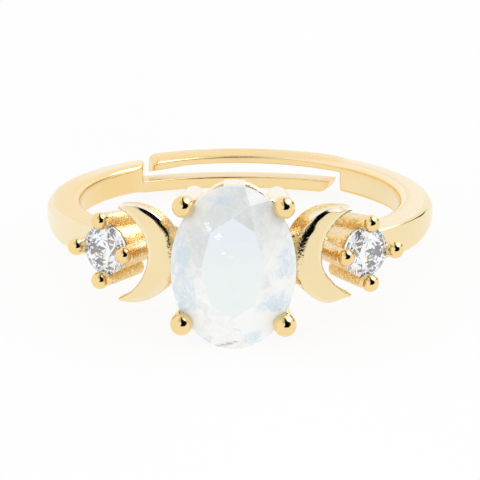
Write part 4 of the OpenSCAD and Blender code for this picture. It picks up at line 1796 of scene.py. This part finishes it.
def ribbon(name, turn, directions, distance, brightness, edge):
    """Card through the given directions from the ring's centre, which fades out at its edges."""
    rows = []
    for (d1, w1), (d2, w2) in zip(directions, directions[1:]):
        for i in range(CARD_STEPS):
            t = i / CARD_STEPS
            rows.append((Vector(d1).lerp(Vector(d2), t).normalized(), mix(w1, w2, t)))
    rows.append((Vector(directions[-1][0]).normalized(), directions[-1][1]))
    verts = []
    fades = []
    for i, (middle, half) in enumerate(rows):
        ahead = rows[min(i + 1, len(rows) - 1)][0] - rows[max(i - 1, 0)][0]
        sideways = middle.cross(ahead).normalized()
        end = min(i, len(rows) - 1 - i) / CARD_STEPS
        for j in range(CARD_COLUMNS + 1):
            t = 2 * j / CARD_COLUMNS - 1
            point = (middle + sideways * t * half).normalized()
            verts.append(CENTRE + turn @ point * distance)
            fades.append(min(1 - abs(t), end * 2))
    wide = CARD_COLUMNS + 1
    faces = []
    for i in range(len(rows) - 1):
        for j in range(CARD_COLUMNS):
            k = i * wide + j
            faces.append((k, k + 1, k + wide + 1, k + wide))
    obj = new_object(name, verts, faces)
    write(obj, "fade", fades)
    material = bpy.data.materials.new(name)
    material.use_nodes = True
    tree = Nodes(material.node_tree)
    tree.tree.nodes.clear()
    glow = tree.add("ShaderNodeEmission", {"Color": (1, 1, 1, 1), "Strength": brightness})
    gone = tree.add("ShaderNodeBsdfTransparent")
    fade = tree.add("ShaderNodeAttribute", attribute_name="fade").outputs["Fac"]
    solid = tree.add(
        "ShaderNodeMapRange",
        {"Value": fade, "From Min": 0.0, "From Max": edge},
        interpolation_type="SMOOTHSTEP",
    )
    both = tree.add("ShaderNodeMixShader", {0: solid, 1: gone, 2: glow})
    tree.add("ShaderNodeOutputMaterial", {"Surface": both})
    obj.data.materials.append(material)
    obj.visible_camera = False
    obj.visible_diffuse = False
    obj.visible_transmission = False
    obj.visible_shadow = False


class RING_OT_stage(bpy.types.Operator):
    """Sets up the floor, the soft studio light and the camera"""

    bl_idname = "ring.stage"
    bl_label = "Stage"

    def execute(self, context):
        scene = context.scene
        studio = scene.ring_studio
        reach = studio.floor
        corners = [(-reach, -reach, 0), (reach, -reach, 0), (reach, reach, 0), (-reach, reach, 0)]
        floor = new_object("floor", corners, [(0, 1, 2, 3)])
        paper = Shader("floor")
        finishes = sizes("finishes")
        speck = paper.noise(0.02, 2.0)
        paper.to("Base Color", paper.blend(speck, finishes.paper_low, finishes.paper_high))
        paper.to("Roughness", 0.9)
        paper.to("Specular IOR Level", 0.0)
        paper.to("Emission Color", (1, 1, 1, 1))
        paper.to("Emission Strength", FLOOR_GLOW)
        floor.data.materials.append(paper.material)

        world = bpy.data.worlds.new("studio")
        world.use_nodes = True
        sky = world.node_tree.nodes["Background"]
        sky.inputs["Color"].default_value = (1, 1, 1, 1)
        sky.inputs["Strength"].default_value = 1.0
        scene.world = world
        scene.view_settings.view_transform = "Standard"

        flat = math.cos(studio.above)
        towards = Vector(
            (math.sin(studio.around) * flat, -math.cos(studio.around) * flat, math.sin(studio.above))
        )
        turn = (-towards).to_track_quat("-Z", "Y")
        for name, card in CARDS.items():
            ribbon(name, turn, *card)

        data = bpy.data.cameras.new("camera")
        data.lens = studio.lens
        data.clip_start = 0.005
        camera = bpy.data.objects.new("camera", data)
        scene.collection.objects.link(camera)
        place = CENTRE + towards * studio.distance
        aim = CENTRE - turn @ Vector((0, studio.low, 0))
        camera.location = place
        camera.rotation_euler = (aim - place).to_track_quat("-Z", "Y").to_euler()
        scene.camera = camera
        return {"FINISHED"}


class RING_PT_panel(bpy.types.Panel):
    """Lists the ring's pieces"""

    bl_idname = "RING_PT_panel"
    bl_label = "Moonstone ring"
    bl_space_type = "VIEW_3D"
    bl_region_type = "UI"
    bl_category = "Ring"

    def draw(self, context):
        for operator in OPERATORS:
            self.layout.operator(operator.bl_idname)
        for name in GROUPS:
            group = getattr(context.scene, "ring_" + name)
            box = self.layout.box()
            for key in group.__annotations__:
                box.prop(group, key)


GROUPS = {
    "band": RingBandSizes,
    "head": RingHeadSizes,
    "crescents": RingCrescentSizes,
    "side": RingSideSizes,
    "finishes": RingFinishes,
    "studio": RingStudio,
}
OPERATORS = (
    RING_OT_stage,
    RING_OT_band,
    RING_OT_base,
    RING_OT_moonstone_setting,
    RING_OT_crescents,
    RING_OT_side_settings,
    RING_OT_moonstone,
    RING_OT_side_stones,
)


def register():
    for name, group in GROUPS.items():
        bpy.utils.register_class(group)
        setattr(bpy.types.Scene, "ring_" + name, PointerProperty(type=group))
    for operator in OPERATORS:
        bpy.utils.register_class(operator)
    bpy.utils.register_class(RING_PT_panel)


def unregister():
    bpy.utils.unregister_class(RING_PT_panel)
    for operator in reversed(OPERATORS):
        bpy.utils.unregister_class(operator)
    for name, group in reversed(GROUPS.items()):
        delattr(bpy.types.Scene, "ring_" + name)
        bpy.utils.unregister_class(group)


def main():
    """Builds every piece."""
    register()
    prepare()
    bpy.ops.ring.stage()
    bpy.ops.ring.band()
    bpy.ops.ring.base()
    bpy.ops.ring.moonstone_setting()
    bpy.ops.ring.crescents()
    bpy.ops.ring.side_settings()
    bpy.ops.ring.moonstone()
    bpy.ops.ring.side_stones()


if __name__ == "__main__":
    main()
